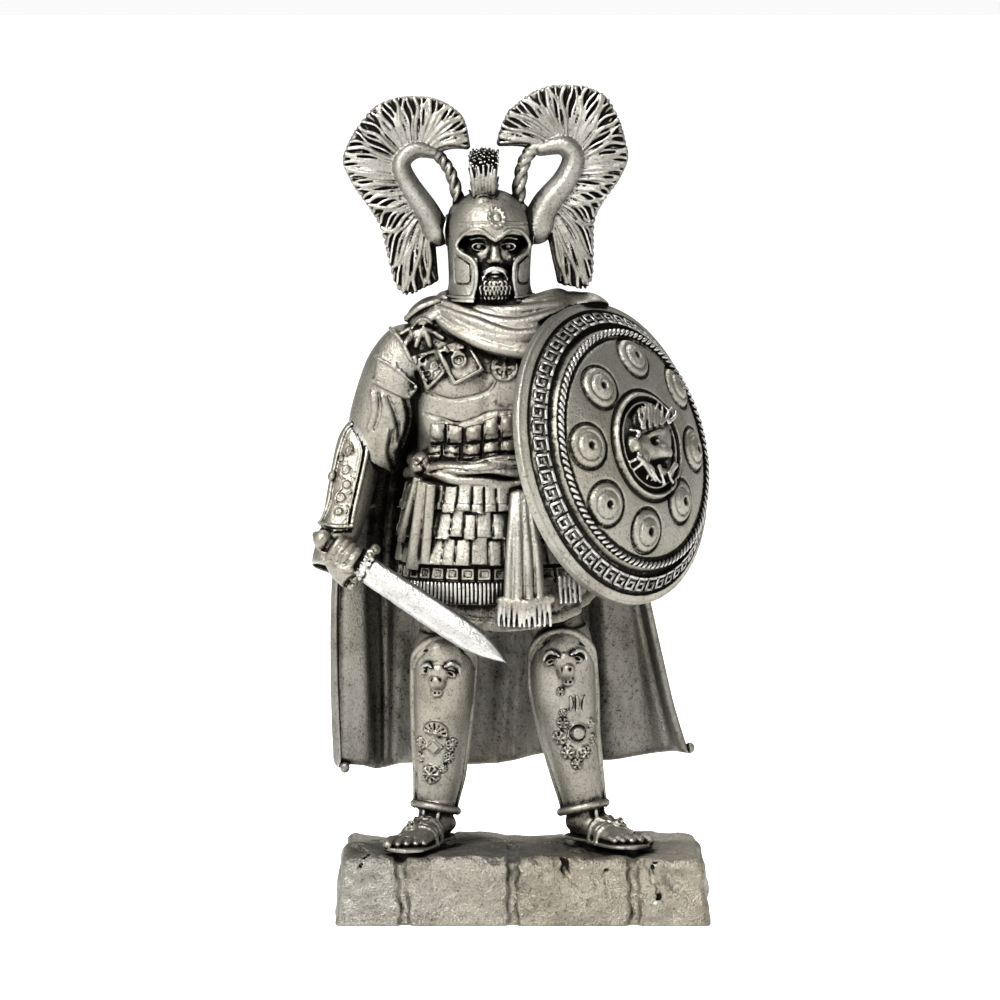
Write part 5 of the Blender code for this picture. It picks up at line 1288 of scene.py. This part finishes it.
def carve_shield():
    clay = Clay((-13.9, -13.9, -1.6), (13.9, 13.9, 6.2), 0.118)
    clay.home = (SHIELD_MIDDLE, SHIELD_AXES)
    where, x, y, z = clay.part((-14, -14, -2), (14, 14, 7))
    r = np.sqrt(x * x + y * y)
    front = (z - dome(r)) * 0.93
    back = (dome(r) - SHIELD_WALL + 0.55 * ease(11.6, 13.0, r) - z) * 0.93
    disc = np.maximum(np.maximum(front, back), r - SHIELD_RADIUS)
    clay.field[where] = disc

    def rings(x, y, z):
        r = np.sqrt(x * x + y * y)
        in_front = z > dome(r) - 0.5
        made = (0.26 * ease(12.55, 12.85, r) - 0.24 * ridge(r, 12.48, 0.14)
                - 0.78 * ridge(r, 10.98, 0.24) + 0.1 * ridge(r, 11.35, 0.14)
                - 0.24 * ridge(r, 9.84, 0.14) + 0.36 * ridge(r, 4.5, 0.22) - 0.3 * ridge(r, 4.9, 0.14)
                - 0.32 * ridge(r, 4.1, 0.14) + 0.26 * ridge(r, 3.78, 0.15) - 0.24 * ease(3.7, 3.5, r))
        return made * in_front

    clay.raise_by((-14, -14, -1.5), (14, 14, 6), rings)
    # Round studs with a dimple, and the faint turned rings on them
    for px, py in SHIELD_STUDS:
        clay.seal((px, py), 2.3, lambda r, t: 0.5 * np.maximum(0, 1 - (r / 1.85) ** 2) ** 0.7
                  - 0.5 * ridge(r, 0, 0.27) - 0.2 * ridge(r, 1.2, 0.12) - 0.26 * ridge(r, 1.98, 0.13)
                  + 0.1 * ridge(r, 0.5, 0.16))
    # Lion's head in the medallion: brow, cheek, muzzle with open jaws, ear and mane
    level = float(dome(0.0)) - 0.2

    def lump(px, py, radii, high, turn=0.0, blend=0.15, cut=False, lift=0.0):
        place = clay.seen([(px, py)])[0][0]
        c, s = math.cos(turn), math.sin(turn)
        axes = np.array(((c, s, 0), (-s, c, 0), (0, 0, 1)))
        clay.egg((place[0], place[1], level + lift), (*radii, high), axes, blend, cut)

    lump(653, 438, (2.35, 2.3), 0.7)
    lump(650, 447, (2.2, 1.3), 1.0, -0.1)
    lump(663, 452, (1.3, 0.95), 1.3, -0.2)
    lump(669, 452, (0.75, 0.6), 1.25, blend=0.2)
    lump(643, 457, (1.0, 1.1), 0.95)
    lump(655, 433, (1.8, 0.42), 1.2, 0.12)
    lump(655, 441, (0.7, 0.42), 0.7, lift=1.1, cut=True, blend=0.0)
    lump(655, 441, (0.34, 0.24), 0.3, lift=0.75, blend=0.0)
    lump(660, 465, (1.8, 0.5), 1.5, -0.1, blend=0.05, cut=True, lift=0.9)
    lump(656, 473, (1.45, 0.5), 0.85, -0.15, blend=0.1)
    lump(633, 446, (0.75, 0.95), 0.95, blend=0.05)
    lump(633.5, 446, (0.36, 0.52), 0.5, lift=0.95, cut=True, blend=0.0)
    lump(651, 420, (2.3, 1.4), 0.95)
    strands = [((636 + 2.9 * k, 429 - 0.6 * k),
                (634 + 3.4 * k, 404 + 0.25 * (k - 5.5) ** 2)) for k in range(12)]
    strands += [((637 + 4.2 * k, 461 + 1.6 * min(k, 4)),
                 (642 + 4.4 * k, 480 + 1.6 * min(k, 4) - 0.5 * k)) for k in range(8)]
    strands += [((634, 437), (626, 431)), ((633, 455), (627, 463)), ((637, 458), (633, 470))]
    for root, tip in strands:
        ends = clay.seen([root, ((root[0] + tip[0]) / 2 + 1, (root[1] + tip[1]) / 2), tip])[0]
        ends[:, 2] = (level + 0.92, level + 0.85, level + 0.35)
        clay.tube(smooth_curve(ends, 3), np.linspace(0.2, 0.13, 7))
    where, x, y, z = clay.part((-14, -14, -2), (14, 14, 7))
    backing = np.maximum(z - dome(r) + 0.8, r - SHIELD_RADIUS + 0.2)
    clay.field[where] = np.maximum(np.minimum(clay.field[where], backing), back)
    points, faces = clay.skin()
    return SHIELD_MIDDLE + points @ SHIELD_AXES, faces


# Plinth


PLINTH_LENGTH, PLINTH_DEPTH, PLINTH_HEIGHT = 33.0, 16.2, 6.0
JOINTS_IN_FRONT = ((-10.72, 0.4), (-0.92, 0.0), (9.64, 0.13))
JOINTS_BEHIND = (-6.6, 4.3)
ROW_LINE = 1.62


def weathered(x, y, z, size, seed):
    """A smooth uneven pattern between -1 and 1."""
    random = np.random.default_rng(seed)
    made = 0
    for _ in range(7):
        way = unit(random.normal(size=3)) / size * random.uniform(0.7, 1.5)
        made = made + np.sin(x * way[0] + y * way[1] + z * way[2] + random.uniform(0, 6.3)
                             + 0.8 * np.sin(y * way[0] * 1.3 - x * way[2] * 0.9 + z * way[1]))
    return made / 3.2


def carve_plinth():
    clay = Clay((-16.8, -8.4, -0.4), (16.8, 8.4, 6.6), 0.15)
    where, x, y, z = clay.part((-17, -9, -1), (17, 9, 7))
    taper = 0.6 * z / PLINTH_HEIGHT
    round_by = 0.9
    a = np.abs(x) - (PLINTH_LENGTH / 2 - taper - round_by)
    b = np.abs(y) - (PLINTH_DEPTH / 2 - taper - round_by)
    side = np.sqrt(np.maximum(a, 0) ** 2 + np.maximum(b, 0) ** 2) + np.minimum(np.maximum(a, b),
                                                                               0) - round_by
    top = z - PLINTH_HEIGHT
    corner = 0.85
    upper = (np.sqrt(np.maximum(side + corner, 0) ** 2 + np.maximum(top + corner, 0) ** 2)
             + np.minimum(np.maximum(side, top) + corner, 0) - corner)
    clay.field[where] = np.maximum(np.maximum(upper, side), -z)
    low, high = (-17, -9, 0.35), (17, 9, 7)

    def stones(x, y, z):
        rough = 0.3 * weathered(x, y, z, 1.4, 3) + 0.13 * weathered(x, y, z, 0.5, 5) - 0.08
        edge = ease(PLINTH_DEPTH / 2 - 1.9, PLINTH_DEPTH / 2 - 0.4, np.abs(y)) * ease(3.2, 5.2, z)
        pits = np.maximum(0, weathered(x, y, z, 0.62, 11) - 0.45)
        pecks = np.maximum(0, weathered(x, y, z, 0.3, 17) - 0.55)
        return (rough - pits * (0.16 + 0.5 * edge) - pecks * (0.12 + 0.3 * edge) - 0.02) * ease(0.3, 0.9, z)

    clay.raise_by(low, high, stones)
    front, back = -PLINTH_DEPTH / 2, PLINTH_DEPTH / 2

    def groove(points, width=0.5):
        line = smooth_curve(points, 10)
        wander = 0.1 * np.sin(np.arange(len(line)) * 0.9 + points[0][0])
        line[:, 0] += wander * (abs(points[0][0] - points[-1][0]) < 2)
        line[:, 1] += wander * (abs(points[0][0] - points[-1][0]) >= 2)
        clay.tube(line, width * (1 + 0.12 * np.sin(np.arange(len(line)) * 0.9)), cut=True, blend=0.2)

    for x, lean in JOINTS_IN_FRONT:
        groove([(x + lean, front, 0.0), (x + lean / 2, front + 0.3, 3.0), (x, front + 0.6, 5.4),
                (x, front + 1.2, 6.0),
                (x, -2.0, 6.0), (x, ROW_LINE, 6.0)])
    for x in JOINTS_BEHIND:
        groove([(x, back, 0.0), (x, back - 0.35, 3.0), (x, back - 0.6, 5.4), (x, back - 1.3, 6.0),
                (x, ROW_LINE, 6.0)])
    groove([(-16.5, ROW_LINE, 1.0), (-16.1, ROW_LINE, 5.3), (-15.2, ROW_LINE, 6.0),
            (0, ROW_LINE + 0.2, 6.0),
            (15.2, ROW_LINE, 6.0), (16.1, ROW_LINE, 5.3), (16.5, ROW_LINE, 1.0)])
    # A notch and a crack in the right-hand stones
    groove([(3.7, front + 1.3, 6.0), (3.6, front + 0.7, 5.6), (3.8, front + 0.4, 4.6)], 0.3)
    groove([(11.6, front + 0.75, 5.8), (11.2, front + 0.5, 4.4), (11.9, front + 0.3, 3.1),
            (11.5, front + 0.2, 1.8)], 0.16)
    groove([(-12.6, front + 2.4, 6.0), (-13.6, front + 1.4, 5.95), (-14.2, front + 0.7, 5.2)], 0.14)
    return clay


# Nodes


class Wire:
    """A node's output. Arithmetic on it adds Math nodes."""

    def __init__(self, bench, socket):
        self.bench, self.socket = bench, socket

    def math(self, operation, *values):
        return self.bench.node("ShaderNodeMath", {"operation": operation}, dict(enumerate(values)))

    def __add__(self, other):
        return self.math("ADD", self, other)

    def __sub__(self, other):
        return self.math("SUBTRACT", self, other)

    def __mul__(self, other):
        return self.math("MULTIPLY", self, other)

    def __truediv__(self, other):
        return self.math("DIVIDE", self, other)

    def __rsub__(self, other):
        return self.math("SUBTRACT", other, self)

    __radd__, __rmul__ = __add__, __mul__

    def clip(self):
        return self.bench.node("ShaderNodeClamp", {}, {"Value": self})


class Bench:
    """Adds nodes to a tree: settings are set first, then the sockets get their values or links."""

    def __init__(self, tree):
        self.tree = tree

    def node(self, kind, settings=None, sockets=None, out=0):
        made = self.tree.nodes.new(kind)
        for key, value in (settings or {}).items():
            setattr(made, key, value)
        for key, value in (sockets or {}).items():
            socket = made.inputs[key]
            if isinstance(value, Wire):
                self.tree.links.new(value.socket, socket)
            elif isinstance(value, bpy.types.NodeSocket):
                self.tree.links.new(value, socket)
            else:
                socket.default_value = value
        return Wire(self, made.outputs[out])

    def noise(self, place, scale, detail, rough=0.55):
        return self.node("ShaderNodeTexNoise", {}, {"Vector": place, "Scale": scale, "Detail": detail,
                                                    "Roughness": rough})

    def mix(self, share, a, b):
        return self.node("ShaderNodeMix", {"data_type": "RGBA"}, {0: share, 6: a, 7: b}, 2)


# Repeated ornaments


def row_tree(name, material):
    """Sets copies of an ornament along a path, each turned with it, leaning by an angle."""
    tree = bpy.data.node_groups.new(name, "GeometryNodeTree")
    tree.is_modifier = True
    panel = tree.interface
    panel.new_socket("Path", in_out="INPUT", socket_type="NodeSocketGeometry")
    panel.new_socket("Ornament", in_out="INPUT", socket_type="NodeSocketObject")
    panel.new_socket("Count", in_out="INPUT", socket_type="NodeSocketInt").default_value = 40
    for title, value in (("Lean", 0.0), ("Size", 1.0), ("Size variation", 0.0)):
        panel.new_socket(title, in_out="INPUT", socket_type="NodeSocketFloat").default_value = value
    panel.new_socket("Geometry", in_out="OUTPUT", socket_type="NodeSocketGeometry")
    made = Bench(tree)
    given = tree.nodes.new("NodeGroupInput").outputs
    line = made.node("GeometryNodeResampleCurve", {"mode": "COUNT"},
                     {"Curve": given["Path"], "Count": given["Count"]}, "Curve")
    tangent = made.node("GeometryNodeInputTangent", out="Tangent")
    facing = made.node("FunctionNodeAxesToRotation", {"primary_axis": "X", "secondary_axis": "Z"},
                       {"Primary Axis": tangent, "Secondary Axis": (0, 0, 1)}, "Rotation")
    lean = made.node("FunctionNodeAxisAngleToRotation", {}, {"Axis": (0, 0, 1), "Angle": given["Lean"]},
                     "Rotation")
    turned = made.node("FunctionNodeRotateRotation", {"rotation_space": "LOCAL"},
                       {"Rotation": facing, "Rotate By": lean}, "Rotation")
    chance = made.node("FunctionNodeRandomValue", {"data_type": "FLOAT"},
                       {"Min": -1.0, "Max": 1.0, "Seed": 7}, 1)
    size = Wire(made, given["Size"]) * (1 + chance * Wire(made, given["Size variation"]))
    thing = made.node("GeometryNodeObjectInfo", {}, {"Object": given["Ornament"]}, "Geometry")
    copies = made.node("GeometryNodeInstanceOnPoints", {},
                       {"Points": line, "Instance": thing, "Rotation": turned, "Scale": size}, "Instances")
    solid = made.node("GeometryNodeRealizeInstances", {}, {"Geometry": copies}, "Geometry")
    done = made.node("GeometryNodeSetMaterial", {}, {"Geometry": solid, "Material": material}, "Geometry")
    tree.links.new(done.socket, tree.nodes.new("NodeGroupOutput").inputs[0])
    return tree


def plain_mesh(thing):
    """The object's mesh as its modifiers leave it, the modifiers taken off."""
    graph = bpy.context.evaluated_depsgraph_get()
    made = bpy.data.meshes.new_from_object(thing.evaluated_get(graph), depsgraph=graph)
    if thing.type != "MESH":
        new = bpy.data.objects.new(thing.name + "_mesh", made)
        bpy.context.scene.collection.objects.link(new)
        bpy.data.objects.remove(thing)
        return new
    thing.modifiers.clear()
    thing.data = made
    return thing


def set_input(modifier, title, value):
    for item in modifier.node_group.interface.items_tree:
        if item.item_type == "SOCKET" and item.in_out == "INPUT" and item.name == title:
            modifier[item.identifier] = value


def ornament_row(name, path, ornament, tree, **inputs):
    """A closed row of copies of an ornament along points in millimetres."""
    curve = bpy.data.curves.new(name, "CURVE")
    curve.dimensions = "3D"
    spline = curve.splines.new("POLY")
    spline.points.add(len(path) - 1)
    for point, place in zip(spline.points, path):
        point.co = (*(np.array(place) / 1000), 1)
    spline.use_cyclic_u = True
    row = bpy.data.objects.new(name, curve)
    bpy.context.scene.collection.objects.link(row)
    modifier = row.modifiers.new("row", "NODES")
    modifier.node_group = tree
    set_input(modifier, "Ornament", ornament)
    for title, value in inputs.items():
        set_input(modifier, title.replace("_", " ").capitalize(), value)
    return plain_mesh(row)


# Wear, patina and painted shade


def around_directions(count):
    """Unit vectors spread evenly over a ball."""
    made = []
    for k in range(count):
        z = 1 - (2 * k + 1) / count
        turn = k * math.pi * (3 - 5**0.5)
        made.append((math.sqrt(1 - z * z) * math.cos(turn), math.sqrt(1 - z * z) * math.sin(turn), z))
    return made


def wear_and_shade_tree(whole):
    """Measures along rays how deep each place lies (patina and painted shade), its crease, and how proud it
    is (rub).
    """
    tree = bpy.data.node_groups.new("wear", "GeometryNodeTree")
    tree.is_modifier = True
    tree.interface.new_socket("Geometry", in_out="INPUT", socket_type="NodeSocketGeometry")
    for title, value in (("Hollow reach", 0.007), ("Crease reach", 0.0009), ("Edge reach", 0.0008)):
        tree.interface.new_socket(title, in_out="INPUT",
                                  socket_type="NodeSocketFloat").default_value = value
    tree.interface.new_socket("Geometry", in_out="OUTPUT", socket_type="NodeSocketGeometry")
    made = Bench(tree)
    given = tree.nodes.new("NodeGroupInput").outputs
    target = made.node("GeometryNodeObjectInfo", {}, {"Object": whole}, "Geometry")
    place = made.node("GeometryNodeInputPosition")
    normal = made.node("GeometryNodeInputNormal")
    geometry = given["Geometry"]
    # The first, broad depth measure reaches 7 mm across all pieces: the darkening it drives is painted
    # shade under and between parts as well as patina.
    for title, reach, side, lift, count in (("wash", "Hollow reach", 1, 0.00007, 18),
                                            ("crease", "Crease reach", 1, 0.00004, 14),
                                            ("rub", "Edge reach", -1, 0.00005, 12)):
        away = made.node("ShaderNodeVectorMath", {"operation": "SCALE"}, {0: normal, "Scale": float(side)})
        start = made.node("ShaderNodeVectorMath", {"operation": "MULTIPLY_ADD"},
                          {0: away, 1: (lift,) * 3, 2: place})
        total = 0.0
        for way in around_directions(count):
            ray = made.node("ShaderNodeVectorMath", {"operation": "MULTIPLY_ADD"},
                            {0: way, 1: (0.93,) * 3, 2: away})
            node = tree.nodes.new("GeometryNodeRaycast")
            for key, wire in (("Target Geometry", target.socket), ("Source Position", start.socket),
                              ("Ray Direction", ray.socket), ("Ray Length", given[reach])):
                tree.links.new(wire, node.inputs[key])
            hit, distance = Wire(made, node.outputs["Is Hit"]), Wire(made, node.outputs["Hit Distance"])
            total = total + hit * (1 - 0.75 * (distance / Wire(made, given[reach])))
        geometry = made.node("GeometryNodeStoreNamedAttribute", {"data_type": "FLOAT", "domain": "POINT"},
                             {"Geometry": geometry, "Name": title, "Value": total / count}, "Geometry")
        geometry = geometry.socket
    tree.links.new(geometry, tree.nodes.new("NodeGroupOutput").inputs[0])
    return tree


def add_wear_and_shade(pieces):
    """Stores the depth painted as patina and shade, the crease and the rub on every piece, each seen
    against all the others.
    """
    bm = bmesh.new()
    for piece in pieces:
        bm.from_mesh(piece.data)
    mesh = bpy.data.meshes.new("whole")
    bm.to_mesh(mesh)
    bm.free()
    whole = bpy.data.objects.new("whole", mesh)
    bpy.context.scene.collection.objects.link(whole)
    tree = wear_and_shade_tree(whole)
    for piece in pieces:
        modifier = piece.modifiers.new("wear", "NODES")
        modifier.node_group = tree
        plain_mesh(piece)
    bpy.data.objects.remove(whole)


# Finishes


def antique_tin(name, light, dark, wash_and_shade_strength=1.0, polish=0.0, grain=1.0, warm=0.5):
    """Cast tin alloy, blackened and rubbed back: dark patina and painted shade in the hollows, and bright
    edges.
    """
    material = bpy.data.materials.new(name)
    material.use_nodes = True
    tree = material.node_tree
    surface = tree.nodes["Principled BSDF"]
    made = Bench(tree)
    place = made.node("ShaderNodeTexCoord", out="Object")
    wash, crease, rub = (made.node("ShaderNodeAttribute", {"attribute_name": key}, out="Fac")
                         for key in ("wash", "crease", "rub"))
    cloudy = made.noise(place, 320.0, 4.0, 0.6)
    speck = made.noise(place, 2600.0, 3.0, 0.7)
    pits = made.noise(place, 5200.0, 2.0, 0.6)
    broad = made.noise(place, 80.0, 2.0, 0.5)
    # Painted shade: the broad hollow darkening stands in for shade under and between parts as well as
    # patina, and it deepens the stains and flecks there. The fine crease darkening is patina.
    hollow = ((wash - 0.06) * (1.9 * wash_and_shade_strength)).clip()
    line = ((crease - 0.05) * (3.9 * wash_and_shade_strength)).clip()
    flecks = ((speck - 0.55) * 4.0).clip() * (0.42 + hollow * 0.5) + ((pits - 0.52) * 4.0).clip() * 0.3
    stain = ((cloudy - 0.46) * 2.8).clip() * (0.4 + hollow * 0.5)
    black = (line * 0.92 + hollow * 0.8 + flecks + stain).clip() * 0.97
    proud = ((rub - 0.34) * 2.0 * (1 - line) + polish * 0.3).clip()
    warmth = ((broad - 0.40) * 2.4).clip() * warm
    brown = tuple(v * k for v, k in zip(light, (0.98, 0.90, 0.74)))
    metal = made.mix(warmth, (*light, 1), (*brown, 1))
    metal = made.mix(proud * 0.6, metal, (0.60, 0.595, 0.58, 1))
    metal = made.mix(black, metal, (*dark, 1))
    rough = (0.50 + black * 0.24 - proud * 0.16 + (speck - 0.5) * 0.3 - polish * 0.08).clip()
    height = speck * 0.6 + pits * 0.35 + cloudy * 0.9
    bump = made.node("ShaderNodeBump", {}, {"Strength": 0.6, "Distance": 0.00014 * grain,
                                            "Height": height}, "Normal")
    surface.inputs["Metallic"].default_value = 1.0
    for key, wire in (("Base Color", metal), ("Roughness", rough), ("Normal", bump)):
        tree.links.new(wire.socket, surface.inputs[key])
    return material


def pale_floor():
    material = bpy.data.materials.new("pale_floor")
    material.use_nodes = True
    tree = material.node_tree
    surface = tree.nodes["Principled BSDF"]
    made = Bench(tree)
    place = made.node("ShaderNodeTexCoord", out="Object")
    soft = made.noise(place, 2.0, 2.0)
    tree.links.new(made.mix(soft, (0.80, 0.80, 0.80, 1), (0.82, 0.82, 0.82, 1)).socket,
                   surface.inputs["Base Color"])
    surface.inputs["Roughness"].default_value = 0.7
    surface.inputs["Emission Color"].default_value = (1.0, 1.0, 1.0, 1)
    surface.inputs["Emission Strength"].default_value = 0.68
    return material


# Assembly

WELD = 2e-7
CRUMB_FACES = 500


def skin_of(name, clay, most_faces):
    """The carved form as an object, thinned where it is smooth, whole and closed."""
    points, faces = clay.skin() if isinstance(clay, Clay) else clay
    made = thin(mesh_object(name, points, faces), most_faces)
    mend(made)
    return made


def thin(made, most_faces):
    """Takes triangles away where the surface is smooth."""
    made.modifiers.new("thin", "DECIMATE").ratio = min(1.0, most_faces / (2 * len(made.data.polygons)))
    plain_mesh(made)
    made.data.shade_smooth()
    return made


def loose_crumbs(mesh, least_faces=CRUMB_FACES):
    """Numbers of the triangles that belong to crumbs with fewer of them than this."""
    corners = np.empty(3 * len(mesh.polygons), np.int32)
    mesh.loops.foreach_get("vertex_index", corners)
    corners = corners.reshape(-1, 3)
    label = np.arange(len(mesh.vertices))
    while True:
        lowest = label[corners].min(axis=1)
        spread = label.copy()
        for column in range(3):
            np.minimum.at(spread, corners[:, column], lowest)
        spread = spread[spread]
        if (spread == label).all():
            break
        label = spread
    sizes = np.bincount(label[corners[:, 0]], minlength=len(label))
    return np.flatnonzero(sizes[label[corners[:, 0]]] < least_faces)


def mend(made):
    """Drops loose crumbs, and closes the few slits that thinning leaves."""
    bm = bmesh.new()
    bm.from_mesh(made.data)
    bmesh.ops.triangulate(bm, faces=bm.faces[:])
    bm.to_mesh(made.data)
    crumbs = loose_crumbs(made.data)
    bm.faces.ensure_lookup_table()
    bmesh.ops.delete(bm, geom=[bm.faces[k] for k in crumbs], context="FACES")
    bmesh.ops.remove_doubles(bm, verts=bm.verts[:], dist=WELD)
    for _ in range(6):
        faulty = {face for edge in bm.edges if len(edge.link_faces) % 2 for face in edge.link_faces}
        if not faulty:
            break
        bmesh.ops.delete(bm, geom=list(faulty), context="FACES")
        rims = [edge for edge in bm.edges if len(edge.link_faces) == 1]
        filled = bmesh.ops.holes_fill(bm, edges=rims, sides=0)["faces"]
        bmesh.ops.triangulate(bm, faces=filled)
    for face in bm.faces:
        face.smooth = True
    bm.to_mesh(made.data)
    bm.free()


def strand_ornament(name, length, wide):
    """A short hanging tassel strand."""
    bm = bmesh.new()
    rings = []
    for down, thick in ((0.0, 0.5), (0.08, 0.95), (0.35, 1.0), (0.7, 0.85), (0.93, 0.6), (1.0, 0.2)):
        ring = [bm.verts.new((math.cos(t) * wide * thick, math.sin(t) * wide * 0.8 * thick,
                              -length * down)) for t in np.arange(7) * math.tau / 7]
        rings.append(ring)
    for near, far in zip(rings, rings[1:]):
        for k in range(7):
            bm.faces.new((near[k], far[k], far[(k + 1) % 7], near[(k + 1) % 7]))
    bm.faces.new(rings[0])
    bm.faces.new(rings[-1][::-1])
    return ornament_object(name, bm)


def bead_ornament(name, radii):
    """A long bead, one strand of a twisted rope."""
    bm = bmesh.new()
    bmesh.ops.create_uvsphere(bm, u_segments=10, v_segments=7, radius=1,
                              matrix=Matrix.Diagonal((*radii, 1)))
    return ornament_object(name, bm)


def key_ornament(name, size, high, tilt):
    """One square key of a meander, as raised bars."""
    bm = bmesh.new()
    bars = ((0, 0.46, 0.98, 0.2), (-0.39, 0, 0.2, 0.9), (0, -0.42, 0.78, 0.19), (0.33, -0.17, 0.18, 0.6),
            (0.1, 0.08, 0.5, 0.18))
    for x, y, wide, tall in bars:
        matrix = (Matrix.Rotation(tilt, 4, "X") @ Matrix.Translation((x * size, y * size, 0))
                  @ Matrix.Diagonal((wide * size, tall * size, high, 1)))
        bmesh.ops.create_cube(bm, size=1, matrix=matrix)
    return ornament_object(name, bm)


def ornament_object(name, bm):
    bmesh.ops.recalc_face_normals(bm, faces=bm.faces)
    mesh = bpy.data.meshes.new(name)
    bm.to_mesh(mesh)
    bm.free()
    mesh.shade_smooth()
    made = bpy.data.objects.new(name, mesh)
    bpy.context.scene.collection.objects.link(made)
    return made


def add_rows(tin, bright):
    """The skirt's fringe, and the shield's rope ring and meander."""
    tree, bright_tree = row_tree("row_of_tin", tin), row_tree("row_of_bright_tin", bright)
    fringe = strand_ornament("fringe_strand", 0.0019, 0.00021)
    strand = bead_ornament("rope_strand", (0.00054, 0.00021, 0.00026))
    key = key_ornament("meander_key", 0.00122, 0.00022, math.atan(BAND_SLOPE))
    rows = [("figure", ornament_row("skirt_fringe", ring_path((-3.4, 0.0), 7.62, 5.37, 30.0), fringe, tree,
                                    count=112, size_variation=0.08))]
    for name, ornament, radius, count, lean, lift in (("rope_ring", strand, ROPE_RADIUS, 104, 0.62, 0.16),
                                                      ("meander_band", key, 11.86, 52, 0.0, 0.05)):
        path = ring_path((0, 0), radius, radius, float(dome(radius)) + lift, 160)
        row = ornament_row(name, path, ornament, bright_tree, count=count, lean=lean, size_variation=0.04)
        matrix = Matrix.Translation(Vector(SHIELD_MIDDLE) / 1000) @ Matrix(SHIELD_AXES.T).to_4x4()
        row.data.transform(matrix)
        rows.append(("shield", row))
    for thing in (fringe, strand, key):
        bpy.data.objects.remove(thing)
    return rows


def clear_of_shield(clay, gap=0.22):
    """Takes away what would stand in the shield or in front of it."""
    _, x, y, z = clay.part(clay.low, clay.low + 99)
    dx, dy, dz = x - SHIELD_MIDDLE[0], y - SHIELD_MIDDLE[1], z - SHIELD_MIDDLE[2]
    u, v, w = (dx * a[0] + dy * a[1] + dz * a[2] for a in SHIELD_AXES)
    r = np.sqrt(u * u + v * v)
    beyond = np.minimum(w - (dome(r) - SHIELD_WALL - gap), SHIELD_RADIUS + gap - r)
    clay.field[...] = np.maximum(clay.field, beyond.astype(np.float32))
    return clay


def aim(thing, target):
    way = Vector(target) - thing.location
    thing.rotation_euler = way.to_track_quat("-Z", "Y").to_euler()


def add_light(name, place, size, power, target=(-0.002, 0, 0.04)):
    light = bpy.data.lights.new(name, "AREA")
    light.shape = "RECTANGLE"
    light.size, light.size_y, light.energy = *size, power
    made = bpy.data.objects.new(name, light)
    bpy.context.scene.collection.objects.link(made)
    made.location = place
    aim(made, target)


def add_studio():
    scene = bpy.context.scene
    bm = bmesh.new()
    bmesh.ops.create_circle(bm, cap_ends=True, segments=64, radius=60.0)
    floor = ornament_object("studio_floor", bm)
    floor.data.materials.append(pale_floor())
    world = bpy.data.worlds.new("studio")
    scene.world = world
    world.use_nodes = True
    made = Bench(world.node_tree)
    height = made.node("ShaderNodeSeparateXYZ", {}, {0: made.node("ShaderNodeTexCoord", out="Generated")},
                       "Z")
    dim = ((height - 0.04) * 3.0).clip()
    sky = world.node_tree.nodes["Background"]
    world.node_tree.links.new(made.mix(dim, (0.8, 0.8, 0.8, 1), (0.26, 0.26, 0.265, 1)).socket,
                              sky.inputs["Color"])
    sky.inputs["Strength"].default_value = 1.0
    add_light("key", (-0.20, -0.34, 0.36), (0.12, 0.12), 4.8)
    add_light("fill", (0.40, -0.34, 0.16), (0.25, 0.25), 0.7)
    add_light("crown", (0.05, 0.20, 0.46), (0.25, 0.15), 1.5)
    scene.view_settings.view_transform = "Standard"
    scene.view_settings.look = "Medium High Contrast"
    camera = bpy.data.cameras.new("camera")
    camera.sensor_width = 36.0
    camera.lens = FOCAL * camera.sensor_width / FRAME_PIXELS
    camera.clip_start = 0.01
    eye = bpy.data.objects.new("camera", camera)
    scene.collection.objects.link(eye)
    eye.location = Vector(EYE) / 1000
    eye.rotation_euler = (math.pi / 2 - PITCH, 0, 0)
    scene.camera = eye


def main():
    tin = antique_tin("antique_tin", (0.25, 0.24, 0.212), (0.014, 0.012, 0.009))
    bright = antique_tin("rubbed_tin", (0.27, 0.262, 0.232), (0.016, 0.014, 0.011), wash_and_shade_strength=0.9, polish=0.25)
    blade = antique_tin("blade_tin", (0.36, 0.355, 0.34), (0.03, 0.028, 0.025), wash_and_shade_strength=0.5, polish=1.0,
                        warm=0.1)
    hair = antique_tin("hair_tin", (0.24, 0.233, 0.212), (0.012, 0.010, 0.008), wash_and_shade_strength=1.2)
    helmet = antique_tin("helmet_tin", (0.28, 0.272, 0.245), (0.010, 0.009, 0.007), wash_and_shade_strength=1.5)
    cloth = antique_tin("cloak_tin", (0.19, 0.183, 0.163), (0.012, 0.010, 0.008), wash_and_shade_strength=1.25, grain=1.3,
                        warm=0.7)
    stone = antique_tin("stone_tin", (0.215, 0.206, 0.181), (0.012, 0.010, 0.008), wash_and_shade_strength=1.15, polish=0.3,
                        grain=3.2, warm=0.8)
    skins = (
        ("figure", "head", carve_head, 130000, helmet),
        ("figure", "body", lambda: clear_of_shield(carve_torso()), 190000, tin),
        ("figure", "sword_arm", carve_sword_arm, 60000, tin),
        ("figure", "shield_arm", lambda: clear_of_shield(carve_shield_arm()), 15000, tin),
        ("figure", "right_leg", carve_right_leg, 62000, tin),
        ("figure", "left_leg", carve_left_leg, 62000, tin),
        ("plume_right", "right_plume", carve_plume_right, 95000, hair),
        ("plume_left", "left_plume", carve_plume_left, 95000, hair),
        ("shield", "shield_disc", carve_shield, 120000, bright),
        ("plinth", "stone_plinth", carve_plinth, 60000, stone),
    )
    pieces = []
    for node, name, carve, most_faces, material in skins:
        made = skin_of(name, carve(), most_faces)
        made.data.materials.append(material)
        pieces.append((node, made))
    for made, material in ((make_blade(), blade), (thin(make_cloak(), 60000), cloth)):
        made.data.materials.append(material)
        pieces.append(("figure", made))
    pieces += add_rows(tin, bright)
    add_wear_and_shade([made for _, made in pieces])
    for node, made in pieces:
        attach(made, "root")
        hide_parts(node)
    add_studio()


main()
